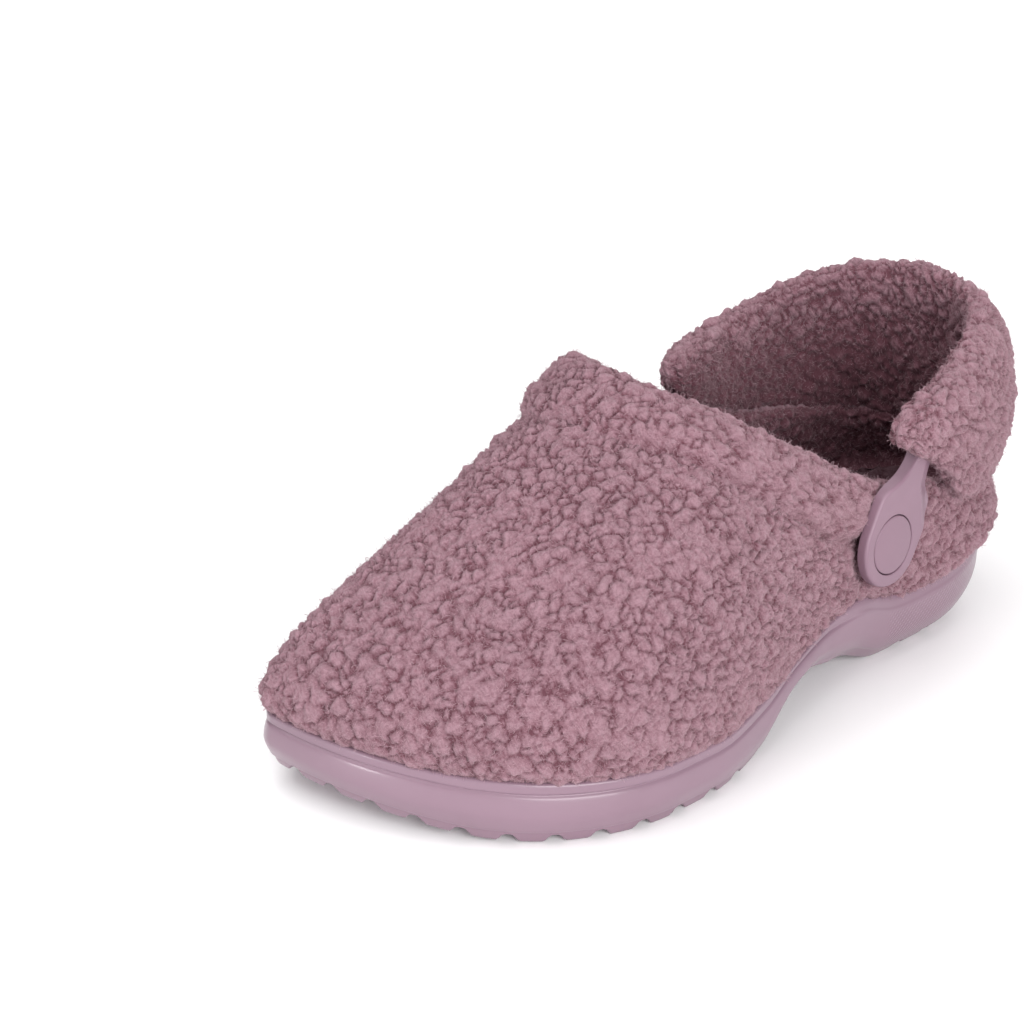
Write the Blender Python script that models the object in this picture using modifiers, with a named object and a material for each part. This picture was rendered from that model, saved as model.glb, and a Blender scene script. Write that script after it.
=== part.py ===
"""Sherpa clog slipper for the left foot, standing empty on its sole.

The toe points to -Y, the lateral side is +X and +Z is up. Sizes are in millimetres and every
mesh is scaled to metres as it is made. Columns run from the toe tip along the lateral side to
the heel and back along the medial side, so all pieces share the same stations.
"""
import math

import bmesh
import bpy
import numpy as np
from mathutils import Matrix, Vector

MM = 0.001
GAP = 0.3
STATIONS = 32

# Plan of the last
TOE_Y = -124.0
TOE_X = -30.0
HEEL_Y = 132.5
HEEL_X = 1.5
TOE_ROUND = {"lateral": (76.0, 1.85), "medial": (40.0, 2.0)}
HEEL_ROUND = (50.0, 2.1)

# Sole
BEAD_FROM = 32.0
BEAD_TO = 52.0
LUG_PITCH = 13.4
LUG_GAP = 4.6
LUG_DEPTH = 2.8
LUG_REACH = 10.0
FOREFOOT_LUGS_END = -10.0
HEEL_LUGS_START = 66.0

# Insole
INSOLE_INSET = 9.8
INSOLE_THICK = 5.0
INSOLE_ROUND = 1.6

# Upper
WALL = 7.0
SIDE_BLEND = 8
SWELL_LOW = 0.6
CUFF_WIDTH = 22.0
CUFF_RISE = 3.0
SEAM_DIP = 0.6
CUFF_FROM = 40.0
CUFF_TO = 54.0
COLLAR_ROUND = 2.4

# Heel strap
STRAP_CENTRE = (1.5, 84.0)
STRAP_REACH = (44.0, 45.5)
STRAP_SQUARE = 2.2
STRAP_DRAW = 8.0
STRAP_TWIST = 6.0
STRAP_STATIONS = 44
STRAP_AROUND = 14
STRAP_EDGE = 3.2

# Strap tabs and rivets
PIVOT_Y = 54.2
PIVOT_Z = 47.2
TAB_TURN = 4.0
TAB_TILT = 3.0
TAB_RAKE = 57.0
TAB_THICK = 3.6
TAB_ROUND = 0.9
TAB_STATIONS = 13
BUTTON_RADIUS = 9.2
BUTTON_DOME = 0.8
SHANK_RADIUS = 4.0
SHANK_LENGTH = 6.0
POCKET_START = 22.0


class Table:
    """Rows of sizes keyed by the first column and read between rows by a curve that never overshoots."""

    def __init__(self, columns, rows):
        self.columns = columns.split()
        self.rows = np.array(rows, float)

    def read(self, name, at):
        x = self.rows[:, 0]
        y = self.rows[:, self.columns.index(name)]
        step = np.diff(x)
        slope = np.diff(y) / step
        tangent = np.zeros(len(y))
        tangent[0] = slope[0]
        tangent[-1] = slope[-1]
        for i in range(1, len(y) - 1):
            if slope[i - 1] * slope[i] > 0:
                tangent[i] = 2 * slope[i - 1] * slope[i] / (slope[i - 1] + slope[i])
        at = np.clip(np.asarray(at, float), x[0], x[-1])
        i = np.clip(np.searchsorted(x, at) - 1, 0, len(step) - 1)
        t = (at - x[i]) / step[i]
        rise = y[i] * (1 - t) ** 2 * (1 + 2 * t) + y[i + 1] * t ** 2 * (3 - 2 * t)
        return rise + step[i] * (tangent[i] * t * (1 - t) ** 2 - tangent[i + 1] * t ** 2 * (1 - t))


# Side lines of the sole before its ends are rounded
SOLE_PLAN = Table("y lateral medial", [
    (-124, 59.0, -46.5),
    (-50, 59.0, -46.5),
    (-33, 59.0, -45.5),
    (-5, 52.5, -42.0),
    (15, 46.5, -39.5),
    (36, 42.0, -38.0),
    (60, 40.5, -37.0),
    (95, 40.5, -37.0),
    (130, 39.0, -36.0),
])

# Heights along the shoe: rim of the sole, its underside, and the hollow of the footbed
SOLE_SIDE = Table("y rim under dish", [
    (-124, 26.0, 8.5, 1.0),
    (-112, 23.8, 4.4, 1.2),
    (-98, 21.6, 1.0, 1.5),
    (-84, 20.3, 0.0, 2.0),
    (-50, 19.0, 0.0, 2.0),
    (-30, 18.6, 0.0, 2.0),
    (-7, 19.4, 0.0, 2.0),
    (5, 20.8, 8.6, 2.0),
    (15, 22.6, 12.2, 2.5),
    (25, 24.4, 13.4, 3.0),
    (40, 27.4, 9.0, 4.0),
    (50, 28.2, 6.0, 4.0),
    (64, 24.0, 0.0, 4.0),
    (72, 23.2, 0.0, 4.0),
    (90, 24.0, 0.0, 4.0),
    (106, 25.6, 1.2, 4.0),
    (116, 27.2, 2.8, 4.0),
    (132.5, 30.0, 6.5, 3.0),
])

# Wall of the sole from the ledge down: share of its height, inset in front, inset at the heel
SOLE_WALL = Table("level share front heel", [
    (0, 0.00, 9.0, 9.0),
    (1, 0.00, 1.4, 1.4),
    (2, 0.06, 0.2, 0.3),
    (3, 0.20, 0.2, -0.5),
    (4, 0.25, 1.2, -0.9),
    (5, 0.30, 0.0, -1.1),
    (6, 0.50, -0.9, -0.9),
    (7, 0.72, 0.3, 1.0),
    (8, 0.79, 0.9, 2.2),
    (9, 0.81, 1.7, 3.2),
    (10, 0.90, 2.2, 5.0),
    (11, 1.00, 3.4, 8.0),
    (12, 1.00, 14.0, 14.0),
])

# Collar edge, one row for each station of the sole it is drawn up from
COLLAR = Table("y lateral_x medial_x run lateral_z medial_z", [
    (-124, -10.0, -10.0, -11.5, 107.4, 107.4),
    (-105, -2.5, -18.0, -10.6, 106.8, 106.9),
    (-77, 8.5, -27.0, -5.5, 104.2, 104.4),
    (-50, 19.0, -32.5, 4.0, 98.8, 99.2),
    (-33, 25.0, -34.8, 12.0, 93.0, 93.6),
    (-5, 31.5, -36.5, 26.5, 84.0, 84.5),
    (15, 35.5, -37.5, 38.0, 76.0, 76.5),
    (36, 38.0, -38.0, 52.0, 68.0, 68.5),
    (60, 39.0, -38.0, 67.0, 61.5, 61.5),
    (75, 39.5, -38.0, 79.0, 58.0, 58.0),
    (95, 39.0, -36.5, 98.0, 54.4, 54.4),
    (110, 34.5, -32.0, 114.0, 52.6, 52.6),
    (130, 1.5, 1.5, 133.0, 52.2, 52.2),
])

# Form of the wall: how straight it runs, how full it is, its swell, and how far its foot is set in
WALL_FORM = Table("y slope medial_slope full medial_full swell medial_swell foot", [
    (-124, 0.69, 0.74, 2.7, 2.8, 3.6, 3.4, 0.6),
    (-105, 0.59, 0.84, 2.4, 3.2, 3.8, 3.6, 0.7),
    (-77, 0.46, 0.73, 2.2, 3.4, 4.0, 4.0, 0.8),
    (-40, 0.36, 0.50, 2.2, 3.0, 3.5, 3.6, 0.8),
    (-5, 0.36, 0.40, 2.2, 2.6, 3.0, 3.0, 0.8),
    (36, 0.45, 0.45, 2.1, 2.1, 2.0, 2.0, 0.8),
    (60, 0.60, 0.60, 2.0, 2.0, 1.6, 1.6, -0.3),
    (88, 0.60, 0.60, 2.0, 2.0, 1.6, 1.6, -0.6),
    (110, 0.60, 0.60, 2.0, 2.0, 5.5, 5.5, -1.2),
    (130, 0.60, 0.60, 2.0, 2.0, 5.5, 5.5, 0.2),
])

# Heel strap by turn round the heel, from its front end to the middle of the back
STRAP_LATERAL = Table("turn height half_height half_thick lean", [
    (-38, 82.5, 4.5, 4.0, 0.0),
    (-33, 82.5, 7.0, 5.4, 0.5),
    (-25, 82.0, 9.5, 6.2, 1.5),
    (-14, 80.5, 13.0, 6.8, 3.0),
    (-4, 78.0, 17.0, 7.0, 5.0),
    (6, 76.4, 20.0, 7.0, 6.8),
    (25, 75.8, 21.8, 7.0, 7.6),
    (50, 76.6, 23.6, 7.0, 5.5),
    (90, 77.4, 24.4, 6.8, 3.5),
])
STRAP_MEDIAL = Table("turn height half_height half_thick lean", [
    (-52, 82.8, 4.2, 4.0, 0.0),
    (-46, 82.0, 7.0, 5.4, 0.0),
    (-36, 81.6, 8.2, 6.0, 0.0),
    (-20, 79.6, 9.8, 6.2, 0.0),
    (-4, 76.6, 13.4, 6.4, 0.0),
    (6, 74.6, 16.4, 6.4, 0.5),
    (25, 73.9, 19.9, 6.5, 2.0),
    (50, 75.4, 22.4, 6.6, 3.0),
    (90, 77.4, 24.4, 6.8, 3.5),
])

# Widths of a strap tab towards its front and rear edges, along its length from the button's centre
TAB = Table("along front rear", [
    (0, 13.4, 13.4),
    (6, 13.5, 13.4),
    (11, 13.4, 13.5),
    (14, 12.2, 13.6),
    (17, 9.8, 12.8),
    (20, 7.4, 9.4),
    (23, 5.9, 6.2),
    (27, 5.0, 5.1),
    (34, 4.8, 4.8),
])

BODY_SHARES = (0.0, 0.06, 0.16, 0.29, 0.44, 0.60, 0.76, 0.91)
CUFF_STEPS = (0.0, 0.10, 0.34, 0.70, 1.0)
CUFF_LIFT = (-1.0, 0.55, 1.0, 0.9, 0.3)

parts = bpy.data.collections.new("sherpa_clog_slipper")
cutters = bpy.data.collections.new("cutters")


def clear_scene():
    for item in list(bpy.data.objects):
        bpy.data.objects.remove(item, do_unlink=True)
    bpy.context.scene.collection.children.link(parts)
    bpy.context.scene.collection.children.link(cutters)


def material(name, colour, roughness):
    made = bpy.data.materials.new(name)
    made.use_nodes = True
    shader = made.node_tree.nodes["Principled BSDF"]
    shader.inputs["Base Color"].default_value = (*colour, 1.0)
    shader.inputs["Roughness"].default_value = roughness
    return made


def piece(name, verts, faces, finish=None):
    """Make a named object from points in millimetres; one without a finish is a cutter."""
    mesh = bpy.data.meshes.new(name)
    mesh.from_pydata([tuple(float(c) * MM for c in p) for p in verts], [], faces)
    work = bmesh.new()
    work.from_mesh(mesh)
    bmesh.ops.recalc_face_normals(work, faces=work.faces)
    work.to_mesh(mesh)
    work.free()
    made = bpy.data.objects.new(name, mesh)
    if finish is None:
        cutters.objects.link(made)
        made.hide_render = True
        made.display_type = "WIRE"
    else:
        parts.objects.link(made)
        mesh.materials.append(finish)
    return made


def cut(target, cutter, crossing=False):
    step = target.modifiers.new("cut", "BOOLEAN")
    step.operation = "DIFFERENCE"
    step.solver = "EXACT"
    step.use_self = crossing
    step.object = cutter


def round_edges(target, width, segments, angle):
    step = target.modifiers.new("round", "BEVEL")
    step.width = width * MM
    step.segments = segments
    step.limit_method = "ANGLE"
    step.angle_limit = math.radians(angle)


def end_round(distance, size, power):
    share = np.clip(distance / size, 0, 1)
    return (1 - (1 - share) ** power) ** (1 / power)


def side_line(y, side):
    """Plan edge of the sole on one side, with the toe and heel rounded."""
    straight = SOLE_PLAN.read(side, y)
    toe = TOE_X + (straight - TOE_X) * end_round(y - TOE_Y, *TOE_ROUND[side])
    heel = HEEL_X + (straight - HEEL_X) * end_round(HEEL_Y - y, *HEEL_ROUND)
    return np.where(y < 0, toe, heel)


def plan_columns():
    """Outline of the sole in plan: points, outward directions and which columns are lateral."""
    turn = np.linspace(0, math.pi, STATIONS + 1)
    y = TOE_Y + (HEEL_Y - TOE_Y) * (1 - np.cos(turn)) / 2
    lateral = np.column_stack([side_line(y, "lateral"), y])
    medial = np.column_stack([side_line(y, "medial"), y])
    points = np.vstack([lateral, medial[-2:0:-1]])
    along = np.roll(points, -1, axis=0) - np.roll(points, 1, axis=0)
    along /= np.linalg.norm(along, axis=1)[:, None]
    outward = np.column_stack([along[:, 1], -along[:, 0]])
    is_lateral = np.arange(len(points)) <= STATIONS
    return points, outward, is_lateral


PLAN, OUTWARD, IS_LATERAL = plan_columns()
COLUMNS = len(PLAN)
AT = PLAN[:, 1]


def ring(inset, height):
    """One loop of the outline, set in from the sole's edge at the given heights."""
    inset = np.broadcast_to(inset, COLUMNS)
    flat = PLAN - OUTWARD * inset[:, None]
    return np.column_stack([flat, np.broadcast_to(height, COLUMNS)])


def loft(rings):
    """Faces between loops that share their columns."""
    faces = []
    for level in range(len(rings) - 1):
        start = level * COLUMNS
        for k in range(COLUMNS):
            n = (k + 1) % COLUMNS
            faces.append((start + k, start + n, start + COLUMNS + n, start + COLUMNS + k))
    return faces


def close_ring(verts, faces, start, across, dish):
    """Close the loop that begins at index start with strips from its lateral to its medial side."""
    rows = [[start] * (across + 1)]
    for j in range(1, STATIONS):
        left = np.array(verts[start + j])
        right = np.array(verts[start + COLUMNS - j])
        row = [start + j]
        for i in range(1, across):
            share = i / across
            point = left * (1 - share) + right * share
            point[2] -= dish[j] * 4 * share * (1 - share)
            row.append(len(verts))
            verts.append(point)
        row.append(start + COLUMNS - j)
        rows.append(row)
    rows.append([start + STATIONS] * (across + 1))
    for first, second in zip(rows[:-1], rows[1:]):
        for i in range(across):
            corners = (first[i], first[i + 1], second[i + 1], second[i])
            faces.append(tuple(dict.fromkeys(corners)))


def front_weight():
    """One along the forefoot and arch, nought round the heel."""
    share = np.clip((BEAD_TO - AT) / (BEAD_TO - BEAD_FROM), 0, 1)
    return share * share * (3 - 2 * share)


def build_sole(finish):
    rim = SOLE_SIDE.read("rim", AT)
    under = SOLE_SIDE.read("under", AT)
    front = front_weight()
    rings = []
    for level, share, inset_front, inset_heel in SOLE_WALL.rows:
        inset = inset_front * front + inset_heel * (1 - front)
        rings.append(ring(inset, rim + (under - rim) * share))
    verts = list(np.vstack(rings))
    faces = loft(rings)
    close_ring(verts, faces, 0, 4, SOLE_SIDE.read("dish", AT))
    close_ring(verts, faces, (len(rings) - 1) * COLUMNS, 4, np.zeros(COLUMNS))
    sole = piece("sole", verts, faces, finish)
    cut(sole, lug_cutter(), crossing=True)
    return sole


def lug_cutter():
    """Blocks that part the lugs of the tread, spaced along the sole's edge."""
    work = bmesh.new()
    edge = np.vstack([PLAN, PLAN[:1]])
    facing = np.vstack([OUTWARD, OUTWARD[:1]])
    run = np.concatenate([[0], np.cumsum(np.linalg.norm(np.diff(edge, axis=0), axis=1))])
    count = int(run[-1] / LUG_PITCH)
    for place in (np.arange(count) + 0.5) * run[-1] / count:
        x = np.interp(place, run, edge[:, 0])
        y = np.interp(place, run, edge[:, 1])
        if FOREFOOT_LUGS_END < y < HEEL_LUGS_START:
            continue
        out = np.array([np.interp(place, run, facing[:, 0]), np.interp(place, run, facing[:, 1])])
        out /= np.linalg.norm(out)
        under = float(SOLE_SIDE.read("under", y))
        set_in = out * LUG_REACH / 2
        middle = Vector((x - set_in[0], y - set_in[1], under + LUG_DEPTH / 2 - 2))
        turn = Matrix.Rotation(math.atan2(out[1], out[0]), 4, "Z")
        size = Matrix.Diagonal((LUG_REACH + 6, LUG_GAP, LUG_DEPTH + 4, 1))
        bmesh.ops.create_cube(work, size=1, matrix=Matrix.Translation(middle) @ turn @ size)
    work.verts.index_update()
    verts = [tuple(v.co) for v in work.verts]
    faces = [tuple(v.index for v in f.verts) for f in work.faces]
    work.free()
    return piece("lug_cutter", verts, faces)


def build_insole(finish):
    floor = SOLE_SIDE.read("rim", AT) + GAP
    dish = SOLE_SIDE.read("dish", AT)
    rings = [
        ring(INSOLE_INSET, floor),
        ring(INSOLE_INSET, floor + INSOLE_THICK - INSOLE_ROUND),
        ring(INSOLE_INSET + INSOLE_ROUND, floor + INSOLE_THICK),
    ]
    verts = list(np.vstack(rings))
    faces = loft(rings)
    close_ring(verts, faces, 0, 4, dish)
    close_ring(verts, faces, 2 * COLUMNS, 4, dish)
    return piece("insole", verts, faces, finish)


def by_side(table, lateral, medial, blend=0):
    """A value per column from its own side's table column, blended over the toe and heel tips."""
    values = np.where(IS_LATERAL, table.read(lateral, AT), table.read(medial, AT))
    for _ in range(blend):
        values = (np.roll(values, 1) + 2 * values + np.roll(values, -1)) / 4
    return values


def collar_edge():
    x = by_side(COLLAR, "lateral_x", "medial_x")
    return np.column_stack([x, COLLAR.read("run", AT), by_side(COLLAR, "lateral_z", "medial_z")])


def wall_points(share):
    """Outer face of the upper at one share of the way from the sole's rim to the collar, per column."""
    foot = ring(WALL_FORM.read("foot", AT), SOLE_SIDE.read("rim", AT) + GAP)
    rise = collar_edge() - foot
    power = 2 / by_side(WALL_FORM, "full", "medial_full", SIDE_BLEND)
    slope = by_side(WALL_FORM, "slope", "medial_slope", SIDE_BLEND)
    bend = np.broadcast_to(share, COLUMNS) * math.pi / 2
    run = 1 - np.clip(np.cos(bend), 0, 1) ** power
    climb = (1 - slope) * np.sin(bend) ** power + slope * run
    swell = by_side(WALL_FORM, "swell", "medial_swell", SIDE_BLEND)
    swell = swell * np.sin(math.pi * np.broadcast_to(share, COLUMNS) ** SWELL_LOW)
    flat = foot[:, :2] + rise[:, :2] * run[:, None] + OUTWARD * swell[:, None]
    return np.column_stack([flat, foot[:, 2] + rise[:, 2] * climb])


def upper_grid():
    """Rows of the upper's outer face: the body up to the cuff's seam, then the raised cuff."""
    fine = np.stack([wall_points(s) for s in np.linspace(0, 1, 81)])
    steps = np.linalg.norm(np.diff(fine, axis=0), axis=2)
    run = np.concatenate([np.zeros((1, COLUMNS)), np.cumsum(steps, axis=0)])
    length = run[-1]
    cuff = np.minimum(CUFF_WIDTH, 0.45 * length)
    places = [share * (length - cuff) for share in BODY_SHARES]
    places += [length - cuff + step * cuff for step in CUFF_STEPS]
    rows = np.zeros((len(places), COLUMNS, 3))
    for i, place in enumerate(places):
        for k in range(COLUMNS):
            for c in range(3):
                rows[i, k, c] = np.interp(place[k], run[:, k], fine[:, k, c])
    across = np.roll(rows, -1, axis=1) - np.roll(rows, 1, axis=1)
    outward = np.cross(across, np.gradient(rows, axis=0))
    outward /= np.linalg.norm(outward, axis=2)[:, :, None]
    weight = np.clip((CUFF_TO - AT) / (CUFF_TO - CUFF_FROM), 0, 1)
    first = len(BODY_SHARES)
    for i, lift in enumerate(CUFF_LIFT):
        height = lift * (CUFF_RISE if lift > 0 else SEAM_DIP)
        rows[first + i] += outward[first + i] * (weight * height)[:, None]
    return rows


def build_upper(finish):
    rows = upper_grid()
    upper = piece("upper", list(rows.reshape(-1, 3)), loft(rows), finish)
    shell = upper.modifiers.new("wall", "SOLIDIFY")
    shell.thickness = WALL * MM
    shell.offset = -1.0
    shell.use_even_offset = False
    round_edges(upper, COLLAR_ROUND, 2, 60)
    return upper


def strap_table(side):
    return STRAP_LATERAL if side > 0 else STRAP_MEDIAL


def strap_point(turn, side):
    """Middle of the strap: straight ends drawn in a little, then a squared ellipse round the heel."""
    angle = math.radians(turn)
    if turn < 0:
        x = STRAP_REACH[0] - STRAP_DRAW * angle * angle
        y = STRAP_REACH[1] * angle
    else:
        x = STRAP_REACH[0] * math.cos(angle) ** (2 / STRAP_SQUARE)
        y = STRAP_REACH[1] * math.sin(angle)
    twist = math.radians(STRAP_TWIST)
    right = side * x * math.cos(twist) - y * math.sin(twist)
    rear = side * x * math.sin(twist) + y * math.cos(twist)
    height = float(strap_table(side).read("height", turn))
    return np.array([STRAP_CENTRE[0] + right, STRAP_CENTRE[1] + rear, height])


def build_strap(finish):
    first = STRAP_LATERAL.rows[0, 0]
    final = 180 - STRAP_MEDIAL.rows[0, 0]
    verts = []
    around = np.linspace(0, 2 * math.pi, STRAP_AROUND, endpoint=False)
    for i in range(STRAP_STATIONS + 1):
        share = i / STRAP_STATIONS
        whole = first + share * (final - first)
        side = 1 if whole <= 90 else -1
        turn = whole if whole <= 90 else 180 - whole
        ahead = strap_point(min(turn + 0.5, 90), side)
        behind = strap_point(turn - 0.5, side)
        if turn > 89.5:
            ahead = strap_point(89.5, -side)
            behind = strap_point(89.5, side)
        tangent = side * (ahead - behind)
        tangent /= np.linalg.norm(tangent)
        out = np.array([tangent[1], -tangent[0], 0.0])
        out /= np.linalg.norm(out)
        high = np.array([0.0, 0.0, 1.0])
        middle = strap_point(turn, side)
        sizes = strap_table(side)
        half_high = float(sizes.read("half_height", turn))
        half_thick = float(sizes.read("half_thick", turn))
        lean = float(sizes.read("lean", turn))
        power = 2 / STRAP_EDGE
        for angle in around:
            c = math.copysign(abs(math.cos(angle)) ** power, math.cos(angle))
            s = math.copysign(abs(math.sin(angle)) ** power, math.sin(angle))
            sideways = half_thick * c - lean * max(s, 0.0) ** 2
            verts.append(middle + out * sideways + high * half_high * s)
    faces = []
    for i in range(STRAP_STATIONS):
        for k in range(STRAP_AROUND):
            n = (k + 1) % STRAP_AROUND
            a = i * STRAP_AROUND
            b = a + STRAP_AROUND
            faces.append((a + k, a + n, b + n, b + k))
    faces.append(tuple(range(STRAP_AROUND)))
    faces.append(tuple(range(len(verts) - STRAP_AROUND, len(verts))))
    return piece("heel_strap", verts, faces, finish)


def tab_axes(side):
    """Directions of a tab: out of the shoe, along the tab to the strap, and across it."""
    turn = math.radians(TAB_TURN)
    tilt = math.radians(TAB_TILT)
    rake = math.radians(TAB_RAKE)
    level = np.array([math.cos(turn), math.sin(turn), 0.0])
    normal = level * math.cos(tilt) + np.array([0.0, 0.0, math.sin(tilt)])
    rear = np.array([-math.sin(turn), math.cos(turn), 0.0])
    high = np.cross(normal, rear)
    along = rear * math.cos(rake) + high * math.sin(rake)
    across = np.cross(normal, along)
    mirror = np.array([side, 1.0, 1.0])
    return normal * mirror, along * mirror, across * mirror


def tab_outline():
    """Outline of a tab as along and across pairs, front edge then rear edge."""
    radius = float(TAB.read("front", 0))
    angles = np.linspace(math.pi, math.pi / 2, 8)[:-1]
    round_end = [(radius * math.cos(a), radius * math.sin(a)) for a in angles]
    places = np.linspace(0, TAB.rows[-1, 0], TAB_STATIONS)
    front = round_end + [(a, float(TAB.read("front", a))) for a in places]
    rear = [(a, -w) for a, w in round_end[1:]] + [(a, -float(TAB.read("rear", a))) for a in places]
    return front + rear[::-1]


def seat(points, normal, along, across, pivot):
    """How far out along the normal a tab must sit to clear the upper under it."""
    rel = points - pivot
    reach_along = rel @ along
    reach_across = rel @ across
    near = (reach_along > -15) & (reach_along < 26) & (np.abs(reach_across) < 15)
    return float((rel @ normal)[near].max()) + GAP


def prism(name, outline, origin, along, across, normal, low, high, finish=None):
    verts = []
    for level in (low, high):
        for a, w in outline:
            verts.append(origin + along * a + across * w + normal * level)
    count = len(outline)
    faces = [(k, (k + 1) % count, count + (k + 1) % count, count + k) for k in range(count)]
    faces.append(tuple(range(count)))
    faces.append(tuple(range(count, 2 * count)))
    return piece(name, verts, faces, finish)


def circle(radius, segments):
    angles = np.linspace(0, 2 * math.pi, segments, endpoint=False)
    return [(radius * math.cos(a), radius * math.sin(a)) for a in angles]


def build_fastening(name, side, upper, strap, tab_finish, rivet_finish):
    """A tab on the upper with its neck in the strap's end, and the rivet that holds it."""
    normal, along, across = tab_axes(side)
    points = upper_grid().reshape(-1, 3)
    beside = (np.abs(points[:, 1] - PIVOT_Y) < 8) & (np.abs(points[:, 2] - PIVOT_Z) < 8)
    near = beside & (points[:, 0] * side > 20)
    pivot = np.array([points[near, 0].mean(), PIVOT_Y, PIVOT_Z])
    pivot = pivot + normal * seat(points, normal, along, across, pivot)
    axes = (pivot, along, across, normal)
    tab = prism("strap_tab_" + name, tab_outline(), *axes, 0.0, TAB_THICK, tab_finish)
    cut(tab, prism("button_cutter_" + name, circle(BUTTON_RADIUS + GAP, 32), *axes, -3, TAB_THICK + 3))
    round_edges(tab, TAB_ROUND, 1, 60)
    last = TAB.rows[-1, 0] + GAP
    width = float(TAB.read("rear", POCKET_START)) + GAP
    pocket = [(POCKET_START, width), (last, width), (last, -width), (POCKET_START, -width)]
    cut(strap, prism("pocket_cutter_" + name, pocket, *axes, -GAP, TAB_THICK + GAP))
    rivet = rivet_piece("rivet_" + name, axes, rivet_finish)
    bore = prism("shank_cutter_" + name, circle(SHANK_RADIUS + GAP, 20), *axes, -SHANK_LENGTH - GAP, 3)
    cut(upper, bore)
    return tab, rivet


def rivet_piece(name, axes, finish):
    """Button head in the tab's hole, with a low dome, and the shank that goes through the upper's wall."""
    pivot, along, across, normal = axes
    loops = [
        (SHANK_RADIUS, -SHANK_LENGTH),
        (SHANK_RADIUS, 0.0),
        (BUTTON_RADIUS, 0.0),
        (BUTTON_RADIUS, TAB_THICK - 0.3),
        (BUTTON_RADIUS - 0.8, TAB_THICK + 0.2),
        (BUTTON_RADIUS * 0.5, TAB_THICK + BUTTON_DOME),
    ]
    segments = 28
    verts = []
    for radius, level in loops:
        for a, w in circle(radius, segments):
            verts.append(pivot + along * a + across * w + normal * level)
    faces = []
    for i in range(len(loops) - 1):
        for k in range(segments):
            n = (k + 1) % segments
            low = i * segments
            high = low + segments
            faces.append((low + k, low + n, high + n, high + k))
    faces.append(tuple(range(segments)))
    faces.append(tuple(range(len(verts) - segments, len(verts))))
    return piece(name, verts, faces, finish)


def centre_on_floor():
    """Move everything so the standing shoe is centred on the origin with its sole on the floor."""
    bpy.context.view_layer.update()
    graph = bpy.context.evaluated_depsgraph_get()
    low = np.full(3, np.inf)
    high = np.full(3, -np.inf)
    for item in parts.objects:
        mesh = item.evaluated_get(graph).to_mesh()
        points = np.array([tuple(v.co) for v in mesh.vertices])
        low = np.minimum(low, points.min(axis=0))
        high = np.maximum(high, points.max(axis=0))
        item.evaluated_get(graph).to_mesh_clear()
    shift = Matrix.Translation((-(low[0] + high[0]) / 2, -(low[1] + high[1]) / 2, -low[2]))
    for item in list(parts.objects) + list(cutters.objects):
        item.data.transform(shift)
        item.data.update()


def main():
    clear_scene()
    foam = material("sole_foam", (0.36, 0.25, 0.30), 0.5)
    pile = material("upper_fleece", (0.40, 0.24, 0.28), 0.95)
    bed = material("insole_fleece", (0.30, 0.17, 0.20), 0.95)
    sleeve = material("strap_fleece", (0.40, 0.24, 0.28), 0.95)
    moulding = material("tab_plastic", (0.36, 0.24, 0.30), 0.45)
    button = material("rivet_plastic", (0.36, 0.24, 0.30), 0.4)
    build_sole(foam)
    build_insole(bed)
    upper = build_upper(pile)
    strap = build_strap(sleeve)
    build_fastening("lateral", 1, upper, strap, moulding, button)
    build_fastening("medial", -1, upper, strap, moulding, button)
    centre_on_floor()


main()
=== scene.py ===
"""Visual scene of a curly-fleece clog slipper for the left foot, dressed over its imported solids.

Sizes are millimetres in the frame the slipper was drawn in: the toe points to -Y, the lateral side
is +X and +Z is up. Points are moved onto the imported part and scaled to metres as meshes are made.
"""
from __future__ import annotations

import logging
import math
from dataclasses import dataclass, field
from enum import Enum

import bpy
import numpy as np
from bpy.types import Material, Mesh, Node, NodeSocket, NodeTree, Object
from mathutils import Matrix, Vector, kdtree


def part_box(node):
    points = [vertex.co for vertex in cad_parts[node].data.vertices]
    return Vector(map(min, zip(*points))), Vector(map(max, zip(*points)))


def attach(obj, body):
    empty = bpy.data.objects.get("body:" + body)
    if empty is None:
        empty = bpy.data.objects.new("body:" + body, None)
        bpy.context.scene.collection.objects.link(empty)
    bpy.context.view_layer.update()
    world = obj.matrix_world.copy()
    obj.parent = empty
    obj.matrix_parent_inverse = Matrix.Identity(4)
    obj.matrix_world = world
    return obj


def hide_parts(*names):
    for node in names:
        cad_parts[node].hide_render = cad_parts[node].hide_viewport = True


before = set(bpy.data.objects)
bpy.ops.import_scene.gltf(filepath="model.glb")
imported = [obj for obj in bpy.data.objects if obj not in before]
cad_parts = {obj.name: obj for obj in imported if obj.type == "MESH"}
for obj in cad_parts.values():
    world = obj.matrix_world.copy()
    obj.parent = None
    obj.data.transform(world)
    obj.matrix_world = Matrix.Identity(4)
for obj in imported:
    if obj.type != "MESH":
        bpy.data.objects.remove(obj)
MM = 0.001
GAP = 0.3
Array = np.ndarray
Triple = tuple[float, float, float]
LOG = logging.getLogger("slipper")


class Side(Enum):
    """The two sides of a shoe."""

    LATERAL = "lateral"
    MEDIAL = "medial"


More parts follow.
